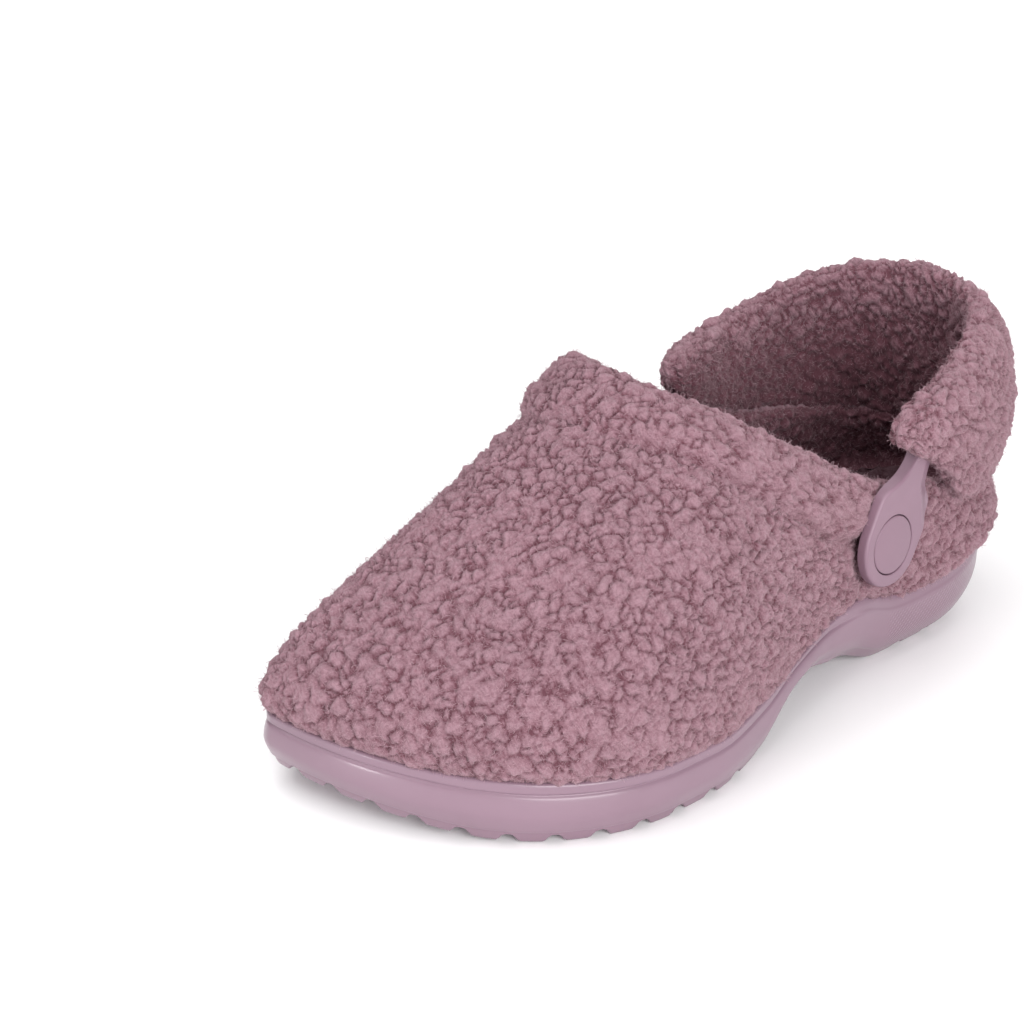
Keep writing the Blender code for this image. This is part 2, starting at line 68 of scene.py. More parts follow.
@dataclass(frozen=True)
class Table:
    """Rows of sizes keyed by the first column and read by a curve that never overshoots."""

    columns: str
    rows: tuple[tuple[float, ...], ...]

    def read(self, name: str, at: Array | float) -> Array:
        """Read one named column between its rows.

        Args:
            name: The column's name.
            at: Where to read, in the units of the first column.

        Returns:
            The values at those places.
        """
        rows = np.array(self.rows, float)
        x = rows[:, 0]
        y = rows[:, self.columns.split().index(name)]
        step = np.diff(x)
        slope = np.diff(y) / step
        tangent = np.zeros(len(y))
        tangent[0] = slope[0]
        tangent[-1] = slope[-1]
        for i in range(1, len(y) - 1):
            if slope[i - 1] * slope[i] > 0:
                tangent[i] = 2 * slope[i - 1] * slope[i] / (slope[i - 1] + slope[i])
        at = np.clip(np.asarray(at, float), x[0], x[-1])
        i = np.clip(np.searchsorted(x, at) - 1, 0, len(step) - 1)
        t = (at - x[i]) / step[i]
        rise = y[i] * (1 - t) ** 2 * (1 + 2 * t) + y[i + 1] * t**2 * (3 - 2 * t)
        return rise + step[i] * (tangent[i] * t * (1 - t) ** 2 - tangent[i + 1] * t**2 * (1 - t))


def soften(values: Array, spread: float) -> Array:
    """Blur values that run round a closed loop.

    Args:
        values: One value per column.
        spread: Standard deviation of the blur, in columns.

    Returns:
        The blurred values.
    """
    turns = np.fft.rfftfreq(len(values))
    return np.fft.irfft(np.fft.rfft(values) * np.exp(-2 * (math.pi * turns * spread) ** 2), len(values))


def smooth(low: float, high: float, value: Array) -> Array:
    """Ramp from nought at low to one at high with soft ends."""
    t = np.clip((value - low) / (high - low), 0, 1)
    return t * t * (3 - 2 * t)


def unit(vectors: Array) -> Array:
    """Scale vectors to length one."""
    return vectors / np.maximum(np.linalg.norm(vectors, axis=-1, keepdims=True), 1e-9)


def run_along(points: Array) -> Array:
    """Distance along a line of points to each of them."""
    return np.concatenate([[0], np.cumsum(np.linalg.norm(np.diff(points, axis=0), axis=1))])


def grid_normals(points: Array, ring: bool, reach: int = 1) -> Array:
    """Directions square to a grid of points.

    Args:
        points: Rows by columns by three.
        ring: Whether the last column meets the first.
        reach: How many columns away to look on a ring.

    Returns:
        One unit vector per point.
    """
    if ring:
        across = np.roll(points, -reach, axis=1) - np.roll(points, reach, axis=1)
    else:
        across = np.gradient(points, axis=1)
    return unit(np.cross(across, np.gradient(points, axis=0)))


@dataclass(frozen=True)
class Columns:
    """Stations round the sole's outline: toe tip, lateral side, heel, and back along the medial side."""

    points: Array
    outward: Array
    lateral: Array
    stations: int

    @property
    def at(self) -> Array:
        """Place of each column along the shoe."""
        return self.points[:, 1]

    def ring(self, inset: Array | float, height: Array | float) -> Array:
        """One loop set in from the sole's edge.

        Args:
            inset: How far in, per column or for all.
            height: How high, per column or for all.

        Returns:
            One point per column.
        """
        count = len(self.points)
        flat = self.points - self.outward * np.broadcast_to(inset, count)[:, None]
        return np.column_stack([flat, np.broadcast_to(height, count)])

    def run(self) -> Array:
        """Distance round the outline to each column, and on to the first again."""
        return run_along(np.vstack([self.points, self.points[:1]]))

    def halves(self, loop: Array) -> tuple[Array, Array]:
        """Split a loop into its two sides, each from the toe to the heel.

        Args:
            loop: One point per column.

        Returns:
            The lateral points and the medial points, in pairs across the shoe.
        """
        lateral = loop[: self.stations + 1]
        medial = np.vstack([loop[:1], loop[: self.stations - 1: -1]])[: self.stations + 1]
        return lateral, medial

    def by_side(self, table: Table, lateral: str, medial: str, blend: float = 0.0) -> Array:
        """Read each column's value from its own side's column of a table.

        Args:
            table: The table to read.
            lateral: Name of its column for the lateral side.
            medial: Name of its column for the medial side.
            blend: Blur over the tips, as a share of half the outline.

        Returns:
            One value per column.
        """
        values = np.where(self.lateral, table.read(lateral, self.at), table.read(medial, self.at))
        return soften(values, blend * self.stations) if blend else values


@dataclass
class Last:
    """Plan and heights of the sole that every piece of the slipper shares."""

    toe: tuple[float, float] = (-30.0, -124.0)
    heel: tuple[float, float] = (1.5, 132.5)
    toe_round: dict[Side, tuple[float, float]] = field(
        default_factory=lambda: {Side.LATERAL: (76.0, 1.85), Side.MEDIAL: (40.0, 2.0)})
    heel_round: tuple[float, float] = (50.0, 2.1)
    plan: Table = Table("y lateral medial", (
        (-124, 59.0, -46.5),
        (-50, 59.0, -46.5),
        (-33, 59.0, -45.5),
        (-5, 52.5, -42.0),
        (15, 46.5, -39.5),
        (36, 42.0, -38.0),
        (60, 40.5, -37.0),
        (95, 40.5, -37.0),
        (130, 39.0, -36.0),
    ))
    side: Table = Table("y rim under dish", (
        (-124, 26.0, 8.5, 1.0),
        (-112, 23.8, 4.4, 1.2),
        (-98, 21.6, 1.0, 1.5),
        (-84, 20.3, 0.0, 2.0),
        (-50, 19.0, 0.0, 2.0),
        (-30, 18.6, 0.0, 2.0),
        (-7, 19.4, 0.0, 2.0),
        (5, 20.8, 8.6, 2.0),
        (15, 22.6, 12.2, 2.5),
        (25, 24.4, 13.4, 3.0),
        (40, 27.4, 9.0, 4.0),
        (50, 28.2, 6.0, 4.0),
        (64, 24.0, 0.0, 4.0),
        (72, 23.2, 0.0, 4.0),
        (90, 24.0, 0.0, 4.0),
        (106, 25.6, 1.2, 4.0),
        (116, 27.2, 2.8, 4.0),
        (132.5, 30.0, 6.5, 3.0),
    ))

    def edge(self, y: Array, side: Side) -> Array:
        """Plan edge of the sole on one side, with the toe and heel rounded.

        Args:
            y: Places along the shoe.
            side: Which side.

        Returns:
            The edge's X at those places.
        """
        straight = self.plan.read(side.value, y)

        def rounded(distance: Array, size: float, power: float) -> Array:
            """Share of the full width at a distance from the tip."""
            share = np.clip(distance / size, 0, 1)
            return (1 - (1 - share) ** power) ** (1 / power)

        toe = self.toe[0] + (straight - self.toe[0]) * rounded(y - self.toe[1], *self.toe_round[side])
        heel = self.heel[0] + (straight - self.heel[0]) * rounded(self.heel[1] - y, *self.heel_round)
        return np.where(y < 0, toe, heel)

    def columns(self, stations: int) -> Columns:
        """Lay stations round the outline.

        Args:
            stations: How many on each side.

        Returns:
            The columns, twice as many.
        """
        turn = np.linspace(0, math.pi, stations + 1)
        y = self.toe[1] + (self.heel[1] - self.toe[1]) * (1 - np.cos(turn)) / 2
        lateral = np.column_stack([self.edge(y, Side.LATERAL), y])
        medial = np.column_stack([self.edge(y, Side.MEDIAL), y])
        points = np.vstack([lateral, medial[-2:0:-1]])
        along = unit(np.roll(points, -1, axis=0) - np.roll(points, 1, axis=0))
        outward = np.column_stack([along[:, 1], -along[:, 0]])
        return Columns(points, outward, np.arange(len(points)) <= stations, stations)

    def offset(self) -> Array:
        """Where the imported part's origin lies in the drawing's frame.

        Returns:
            The offset, in millimetres.
        """
        outline = self.columns(200)
        bulge = np.where(outline.at > 45, 1.8, 0.9)
        edge = outline.ring(-bulge, 0.0)
        low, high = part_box("sole")
        return np.array([edge[:, 0].max() - high.x / MM, edge[:, 1].min() - low.y / MM, 0.0])


class SoftNoise:
    """Smooth random values in space, the same on every run."""

    cells: int = 32

    def __init__(self, seed: int, channels: int) -> None:
        """Fill the lattice.

        Args:
            seed: Seed of the random values.
            channels: Values per point.
        """
        self.lattice = np.random.default_rng(seed).uniform(-1, 1, (self.cells,) * 3 + (channels,))

    def read(self, points: Array, size: float) -> Array:
        """Read the noise.

        Args:
            points: Places in space.
            size: Distance between lattice points.

        Returns:
            Points by channels, from minus one to one.
        """
        place = points / size
        cell = np.floor(place).astype(int)
        t = place - cell
        t = t * t * (3 - 2 * t)
        total = 0.0
        for corner in range(8):
            bits = np.array([corner & 1, corner >> 1 & 1, corner >> 2 & 1])
            weight = np.prod(np.where(bits, t, 1 - t), axis=1)
            i, j, k = ((cell + bits) % self.cells).T
            total = total + self.lattice[i, j, k] * weight[:, None]
        return total


@dataclass(frozen=True)
class NubSize:
    """Sizes of one generation of curls: smallest and largest radius, height, and how full the tops are."""

    low: float
    high: float
    height: float
    full: float


class Curls:
    """Curls of one generation packed over surfaces and read back as a height."""

    throws: int = 110000
    neighbours: int = 8

    def __init__(self, size: NubSize, points: Array, normals: Array, seed: int) -> None:
        """Throw curls onto the surfaces until few more fit.

        Args:
            size: Sizes of the curls.
            points: Points of all the surfaces they cover.
            normals: Directions square to the surfaces there.
            seed: Seed of the random choices.
        """
        self.size = size
        rng = np.random.default_rng(seed)
        chosen = rng.permutation(len(points))[: int(self.throws * (1.6 / size.high) ** 0.9)]
        tries = points[chosen]
        radii = size.low + (size.high - size.low) * rng.uniform(0, 1, len(tries)) ** 1.5
        keys = np.floor(tries / (2 * size.high)).astype(int)
        bins: dict[tuple[int, int, int], list[int]] = {}
        kept: list[int] = []
        for i in range(len(tries)):
            x, y, z = keys[i]
            near = [j for a in (-1, 0, 1) for b in (-1, 0, 1) for c in (-1, 0, 1)
                    for j in bins.get((x + a, y + b, z + c), ())]
            if near:
                gap = np.linalg.norm(tries[near] - tries[i], axis=1)
                if (gap < 0.9 * (radii[near] + radii[i])).any():
                    continue
            bins.setdefault((x, y, z), []).append(i)
            kept.append(i)
        self.centres = tries[kept]
        self.radii = radii[kept]
        square = normals[chosen[kept]]
        way = rng.normal(size=(len(kept), 3))
        self.axes = unit(way - (way * square).sum(axis=1, keepdims=True) * square)
        self.squeeze = rng.uniform(0.1, 0.8, len(kept))
        self.tall = rng.uniform(0.7, 1.15, len(kept)) * (self.radii / self.radii.mean()) ** 0.4
        self.shade = rng.uniform(-1, 1, len(kept))
        self.tree = kdtree.KDTree(len(kept))
        for i, centre in enumerate(self.centres):
            self.tree.insert(centre, i)
        self.tree.balance()

    def read(self, points: Array) -> tuple[Array, Array, Array]:
        """Height of the curls, how far from a crevice, and the shade of the curl.

        Args:
            points: Places on the surface.

        Returns:
            Height as a share of the full height, nearness to the curl's middle, and shade.
        """
        count = min(self.neighbours, len(self.centres))
        near = np.array([[hit[1] for hit in self.tree.find_n(p, count)] for p in points])
        delta = points[:, None, :] - self.centres[near]
        along = (delta * self.axes[near]).sum(axis=2)
        reach = np.sqrt(np.maximum((delta**2).sum(axis=2) - self.squeeze[near] * along**2, 0))
        reach = reach / self.radii[near]
        order = np.argsort(reach, axis=1)
        rank = np.arange(len(points))
        first = reach[rank, order[:, 0]]
        second = reach[rank, order[:, 1]]
        third = reach[rank, order[:, 2]]
        second = second - 0.12 * np.exp(-(third - second) / 0.12)
        inside = np.clip((second - first) / (second + first), 0, 1)
        owner = near[rank, order[:, 0]]
        height = self.tall[owner] * (1 - (1 - inside) ** self.size.full)
        return height, inside, self.shade[owner]


@dataclass
class Pile:
    """Curly fleece: nubs of two sizes raised on a set of surfaces."""

    nub: NubSize = NubSize(1.2, 2.9, 1.75, 2.1)
    lobe: NubSize = NubSize(0.55, 1.15, 0.5, 2.0)
    warp: float = 1.3
    warp_size: float = 3.4
    fused: float = 0.55
    fused_size: float = 3.6
    broad: float = 0.5
    broad_size: float = 13.0
    frizz: float = 0.16
    frizz_size: float = 0.95
    seed: int = 11

    def grow(self, patches: list[Patch], share: float = 1.0) -> None:
        """Raise the pile on patches that lie side by side, so that curls run on across their borders.

        Args:
            patches: The patches, which are changed.
            share: Share of the full height.
        """
        cloud = np.vstack([patch.points.reshape(-1, 3) for patch in patches])
        square = np.vstack([patch.normals.reshape(-1, 3) for patch in patches])
        nubs = Curls(self.nub, cloud, square, self.seed)
        lobes = Curls(self.lobe, cloud, square, self.seed + 1)
        wander = SoftNoise(self.seed + 2, 3)
        for patch in patches:
            flat = patch.points.reshape(-1, 3)
            moved = flat + self.warp * wander.read(flat, self.warp_size)
            moved = moved + 0.5 * self.warp * wander.read(flat + 40.0, self.warp_size * 0.37)
            high, inside, shade = nubs.read(moved)
            small, small_inside, small_shade = lobes.read(moved)
            broad = wander.read(flat + 90.0, self.broad_size)[:, 0]
            fused = smooth(-0.1, 0.5, wander.read(flat + 60.0, self.fused_size)[:, 0])
            high = high + (0.72 - high) * self.fused * fused
            inside = inside + (0.36 - inside) * 0.6 * fused * (inside < 0.36)
            frizz = wander.read(flat + 20.0, self.frizz_size)[:, 0]
            lift = self.nub.height * (high - 0.6) + self.lobe.height * (small - 0.55) + self.broad * broad
            lift = lift + self.frizz * frizz
            lift = lift.reshape(patch.points.shape[:2]) * share * patch.lush
            patch.points = patch.points + patch.normals * lift[:, :, None]
            # tone carries painted shade and light: low in the crevices between curls, high on their tops.
            tone = 0.66 * smooth(-0.04, 0.40, inside) + 0.34 * smooth(-0.04, 0.45, small_inside)
            patch.tone = tone.reshape(lift.shape)
            patch.shade = (0.65 * shade + 0.35 * small_shade).reshape(lift.shape)


@dataclass
class Patch:
    """A grid of points that becomes a mesh, with what its finish reads from it."""

    points: Array
    normals: Array | None = None
    ring: bool = False
    lush: Array | float = 1.0
    tone: Array | None = None
    shade: Array | None = None
    flat: Array | None = None

    def cut(self, first: int, last: int) -> Patch:
        """Take the columns from first to last.

        Args:
            first: First column.
            last: Last column, which is kept too.

        Returns:
            The narrower patch.
        """
        part = slice(first, last + 1)

        def columns(values: Array | None) -> Array | None:
            """The same columns of a value per point."""
            return None if values is None else values[:, part]

        return Patch(self.points[:, part], self.normals[:, part], False, 1.0,
                     columns(self.tone), columns(self.shade), columns(self.flat))


@dataclass
class Maker:
    """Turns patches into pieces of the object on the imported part."""

    offset: Array

    def place(self, points: Array) -> Array:
        """Points of the drawing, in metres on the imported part."""
        return (points.reshape(-1, 3) - self.offset) * MM

    def piece(self, name: str, patch: Patch, finish: Material, nodes: tuple[str, ...]) -> Object:
        """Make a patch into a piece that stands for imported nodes.

        Args:
            name: The piece's name.
            patch: Its points and what its finish reads.
            finish: Its material.
            nodes: The nodes it stands for.

        Returns:
            The piece.
        """
        rows, count = patch.points.shape[:2]
        index = np.arange(rows * count).reshape(rows, count)
        if patch.ring:
            index = np.hstack([index, index[:, :1]])
        quads = np.stack([index[:-1, :-1], index[:-1, 1:], index[1:, 1:], index[1:, :-1]], axis=-1)
        made = self.mesh(name, self.place(patch.points), quads.reshape(-1, 4), finish)
        normals = grid_normals(patch.points, patch.ring).reshape(-1, 3)
        made.normals_split_custom_set_from_vertices([tuple(n) for n in normals])
        for label, values in (("tone", patch.tone), ("shade", patch.shade)):
            if values is not None:
                layer = made.attributes.new(label, "FLOAT", "POINT")
                layer.data.foreach_set("value", values.astype(np.float32).ravel())
        if patch.flat is not None:
            layer = made.uv_layers.new(name="flat")
            corners = np.zeros(len(made.loops), np.int32)
            made.loops.foreach_get("vertex_index", corners)
            layer.data.foreach_set("uv", patch.flat.reshape(-1, 2)[corners].astype(np.float32).ravel())
        return self.ride(name, made, nodes)

    def mesh(self, name: str, points: Array, faces: Array, finish: Material) -> Mesh:
        """Make a smooth mesh of faces with the same number of corners.

        Args:
            name: The mesh's name.
            points: Points in metres.
            faces: Corner numbers, one row per face.
            finish: Its material.

        Returns:
            The mesh.
        """
        made = bpy.data.meshes.new(name)
        made.vertices.add(len(points))
        made.vertices.foreach_set("co", points.astype(np.float32).ravel())
        corners = faces.shape[1]
        made.loops.add(faces.size)
        made.loops.foreach_set("vertex_index", faces.astype(np.int32).ravel())
        made.polygons.add(len(faces))
        made.polygons.foreach_set("loop_start", np.arange(0, faces.size, corners, dtype=np.int32))
        made.polygons.foreach_set("use_smooth", np.ones(len(faces), bool))
        made.update(calc_edges=True)
        made.validate()
        made.materials.append(finish)
        return made

    def ride(self, name: str, mesh: Mesh, nodes: tuple[str, ...]) -> Object:
        """Put a mesh into the scene as a piece of the object.

        Args:
            name: The piece's name.
            mesh: Its mesh, in metres.
            nodes: The nodes it stands for.

        Returns:
            The piece.
        """
        made = bpy.data.objects.new(name, mesh)
        bpy.context.scene.collection.objects.link(made)
        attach(made, "root")
        if nodes:
            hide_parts(*nodes)
        LOG.info("%s: %d faces", name, len(mesh.polygons))
        return made


def add_node(tree: NodeTree, kind: str, **values: object) -> Node:
    """Add a node and set its properties or input values.

    Args:
        tree: The tree it goes in.
        kind: The node's type.
        values: Properties of the node, or inputs by name with spaces as underscores.

    Returns:
        The node.
    """
    node = tree.nodes.new(kind)
    for key, value in values.items():
        if hasattr(node, key):
            setattr(node, key, value)
        else:
            node.inputs[key.replace("_", " ")].default_value = value
    return node


@dataclass(frozen=True)
class Finish:
    """Shared steps for building a node material."""

    name: str

    def start(self) -> tuple[Material, NodeTree, Node]:
        """Make an empty node material.

        Returns:
            The material, its tree and its surface shader.
        """
        made = bpy.data.materials.new(self.name)
        made.use_nodes = True
        tree = made.node_tree
        return made, tree, tree.nodes["Principled BSDF"]

    def speckle(self, tree: NodeTree, scale: float, detail: float, bend: float = 0.0) -> Node:
        """A noise texture in the object's own coordinates.

        Args:
            tree: The tree it goes in.
            scale: Its scale.
            detail: Its detail.
            bend: Its distortion.

        Returns:
            The noise node.
        """
        where = add_node(tree, "ShaderNodeTexCoord")
        noise = add_node(tree, "ShaderNodeTexNoise", Scale=scale, Detail=detail, Distortion=bend)
        tree.links.new(where.outputs["Object"], noise.inputs["Vector"])
        return noise

    def blend(self, tree: NodeTree, value: NodeSocket,
              stops: tuple[tuple[float, Triple], ...]) -> NodeSocket:
        """Blend colours by a value.

        Args:
            tree: The tree it goes in.
            value: What chooses the colour.
            stops: Places from nought to one with their colours, in order.

        Returns:
            The colour.
        """
        ramp = add_node(tree, "ShaderNodeValToRGB")
        marks = ramp.color_ramp.elements
        for _ in stops[2:]:
            marks.new(0.5)
        for mark, (place, colour) in zip(marks, stops):
            mark.position = place
            mark.color = (*colour, 1.0)
        tree.links.new(value, ramp.inputs["Fac"])
        return ramp.outputs["Color"]

    def skin(self, tree: NodeTree, shader: Node, cloud: Node,
             stops: tuple[tuple[float, Triple], ...], gloss: tuple[float, float]) -> None:
        """Mottle the colour and the gloss of a moulded skin.

        Args:
            tree: The tree it goes in.
            shader: The surface shader.
            cloud: The noise that mottles.
            stops: Colours along the noise.
            gloss: Roughness at the noise's ends.
        """
        tree.links.new(self.blend(tree, cloud.outputs["Fac"], stops), shader.inputs["Base Color"])
        rough = add_node(tree, "ShaderNodeMapRange", To_Min=gloss[0], To_Max=gloss[1])
        tree.links.new(cloud.outputs["Fac"], rough.inputs["Value"])
        tree.links.new(rough.outputs["Result"], shader.inputs["Roughness"])
        shader.inputs["Specular IOR Level"].default_value = 0.45

    def bump(self, tree: NodeTree, height: NodeSocket, strength: float, distance: float) -> Node:
        """Raise a surface by a height.

        Args:
            tree: The tree it goes in.
            height: The height.
            strength: How strongly it shows.
            distance: How high it is, in metres.

        Returns:
            The bump node.
        """
        node = add_node(tree, "ShaderNodeBump", Strength=strength, Distance=distance)
        tree.links.new(height, node.inputs["Height"])
        return node


@dataclass(frozen=True)
class FleeceFinish(Finish):
    """Curly pile: painted shade between the curls and painted light on their pale tops, with fine wandering
    fibres.
    """

    # deep is painted shade for the crevices between curls; top is painted light for the curls' tops.
    deep: Triple = (0.128, 0.048, 0.064)
    middle: Triple = (0.230, 0.117, 0.144)
    top: Triple = (0.328, 0.194, 0.230)
    sheen: Triple = (0.86, 0.66, 0.70)

    def strands(self, tree: NodeTree) -> Node:
        """Thin lines that wind about as combed wool does.

        Args:
            tree: The tree it goes in.

        Returns:
            The wave node.
        """
        where = add_node(tree, "ShaderNodeTexCoord")
        wave = add_node(tree, "ShaderNodeTexWave", bands_direction="DIAGONAL", Scale=290.0, Distortion=15.0,
                        Detail=2.0, Detail_Scale=0.5)
        tree.links.new(where.outputs["Object"], wave.inputs["Vector"])
        return wave

    def make(self) -> Material:
        """Build the material.

        Returns:
            The material.
        """
        made, tree, shader = self.start()
        link = tree.links.new
        tone = add_node(tree, "ShaderNodeAttribute", attribute_name="tone")
        shade = add_node(tree, "ShaderNodeAttribute", attribute_name="shade")
        fibre = self.speckle(tree, 1500.0, 3.0, 1.6)
        dust = self.speckle(tree, 42.0, 2.0)
        lift = add_node(tree, "ShaderNodeMath", operation="MULTIPLY_ADD")
        lift.inputs[1].default_value = 0.07
        link(shade.outputs["Fac"], lift.inputs[0])
        link(tone.outputs["Fac"], lift.inputs[2])
        mottle = add_node(tree, "ShaderNodeMapRange", From_Min=0.34, From_Max=0.66, To_Min=-0.22, To_Max=0.22)
        link(fibre.outputs["Fac"], mottle.inputs["Value"])
        strands = self.strands(tree)
        streak = add_node(tree, "ShaderNodeMath", operation="MULTIPLY_ADD")
        streak.inputs[1].default_value = 0.16
        link(strands.outputs["Fac"], streak.inputs[0])
        link(mottle.outputs["Result"], streak.inputs[2])
        rough = add_node(tree, "ShaderNodeMath", operation="ADD")
        link(lift.outputs[0], rough.inputs[0])
        link(streak.outputs[0], rough.inputs[1])
        total = add_node(tree, "ShaderNodeMath", operation="SUBTRACT")
        total.inputs[1].default_value = 0.08
        link(rough.outputs[0], total.inputs[0])
        # The tone attribute picks painted shade (deep) in the crevices and painted light (top) on the curl
        # tops.
        mixed = self.blend(tree, total.outputs[0], ((0.10, self.deep), (0.48, self.middle), (0.98, self.top)))
        wash = add_node(tree, "ShaderNodeMapRange", To_Min=0.90, To_Max=1.09)
        link(dust.outputs["Fac"], wash.inputs["Value"])
        colour = add_node(tree, "ShaderNodeVectorMath", operation="SCALE")
        link(mixed, colour.inputs[0])
        link(wash.outputs["Result"], colour.inputs["Scale"])
        link(colour.outputs[0], shader.inputs["Base Color"])
        link(self.bump(tree, streak.outputs[0], 0.8, 0.0006).outputs["Normal"], shader.inputs["Normal"])
        shader.inputs["Roughness"].default_value = 0.92
        shader.inputs["Specular IOR Level"].default_value = 0.15
        shader.inputs["Sheen Weight"].default_value = 0.28
        shader.inputs["Sheen Roughness"].default_value = 0.45
        shader.inputs["Sheen Tint"].default_value = (*self.sheen, 1.0)
        return made


@dataclass(frozen=True)
class FoamFinish(Finish):
    """Moulded foam with a satin skin, faint mottling and a patch of fine dots on the heel block."""

    colour: Triple = (0.230, 0.144, 0.188)
    dark: Triple = (0.207, 0.127, 0.167)
    dot_pitch: float = 1.3

    def make(self) -> Material:
        """Build the material.

        Returns:
            The material.
        """
        made, tree, shader = self.start()
        link = tree.links.new
        cloud = self.speckle(tree, 26.0, 4.0)
        grain = self.speckle(tree, 1900.0, 2.0)
        self.skin(tree, shader, cloud, ((0.32, self.dark), (0.66, self.colour)), (0.26, 0.42))
        flat = add_node(tree, "ShaderNodeUVMap", uv_map="flat")
        turn = add_node(tree, "ShaderNodeMapping")
        turn.inputs["Rotation"].default_value = (0.0, 0.0, math.radians(45))
        link(flat.outputs["UV"], turn.inputs["Vector"])
        dots = add_node(tree, "ShaderNodeTexVoronoi", voronoi_dimensions="2D",
                        Scale=1 / (self.dot_pitch * MM), Randomness=0.0)
        link(turn.outputs["Vector"], dots.inputs["Vector"])
        dome = add_node(tree, "ShaderNodeMapRange", From_Min=0.16, From_Max=0.42, To_Min=1.0, To_Max=0.0)
        link(dots.outputs["Distance"], dome.inputs["Value"])
        panel = add_node(tree, "ShaderNodeAttribute", attribute_name="tone")
        marked = add_node(tree, "ShaderNodeMath", operation="MULTIPLY")
        link(dome.outputs["Result"], marked.inputs[0])
        link(panel.outputs["Fac"], marked.inputs[1])
        fine = self.bump(tree, grain.outputs["Fac"], 0.06, 0.0002)
        raised = self.bump(tree, marked.outputs[0], 0.5, 0.0003)
        link(fine.outputs["Normal"], raised.inputs["Normal"])
        link(raised.outputs["Normal"], shader.inputs["Normal"])
        shader.inputs["Coat Weight"].default_value = 0.3
        shader.inputs["Coat Roughness"].default_value = 0.16
        return made


@dataclass(frozen=True)
class MouldedFinish(Finish):
    """Smooth moulded plastic with a soft satin skin."""

    colour: Triple = (0.233, 0.140, 0.185)
    dark: Triple = (0.213, 0.127, 0.169)

    def make(self) -> Material:
        """Build the material.

        Returns:
            The material.
        """
        made, tree, shader = self.start()
        cloud = self.speckle(tree, 60.0, 3.0)
        grain = self.speckle(tree, 2600.0, 2.0)
        self.skin(tree, shader, cloud, ((0.3, self.dark), (0.7, self.colour)), (0.38, 0.48))
        fine = self.bump(tree, grain.outputs["Fac"], 0.08, 0.0002)
        tree.links.new(fine.outputs["Normal"], shader.inputs["Normal"])
        return made


@dataclass(frozen=True)
class FloorFinish(Finish):
    """Plain pale studio floor."""

    colour: Triple = (0.93, 0.93, 0.935)

    def make(self) -> Material:
        """Build the material.

        Returns:
            The material.
        """
        made, _, shader = self.start()
        shader.inputs["Base Color"].default_value = (*self.colour, 1.0)
        shader.inputs["Roughness"].default_value = 0.8
        shader.inputs["Specular IOR Level"].default_value = 0.1
        return made


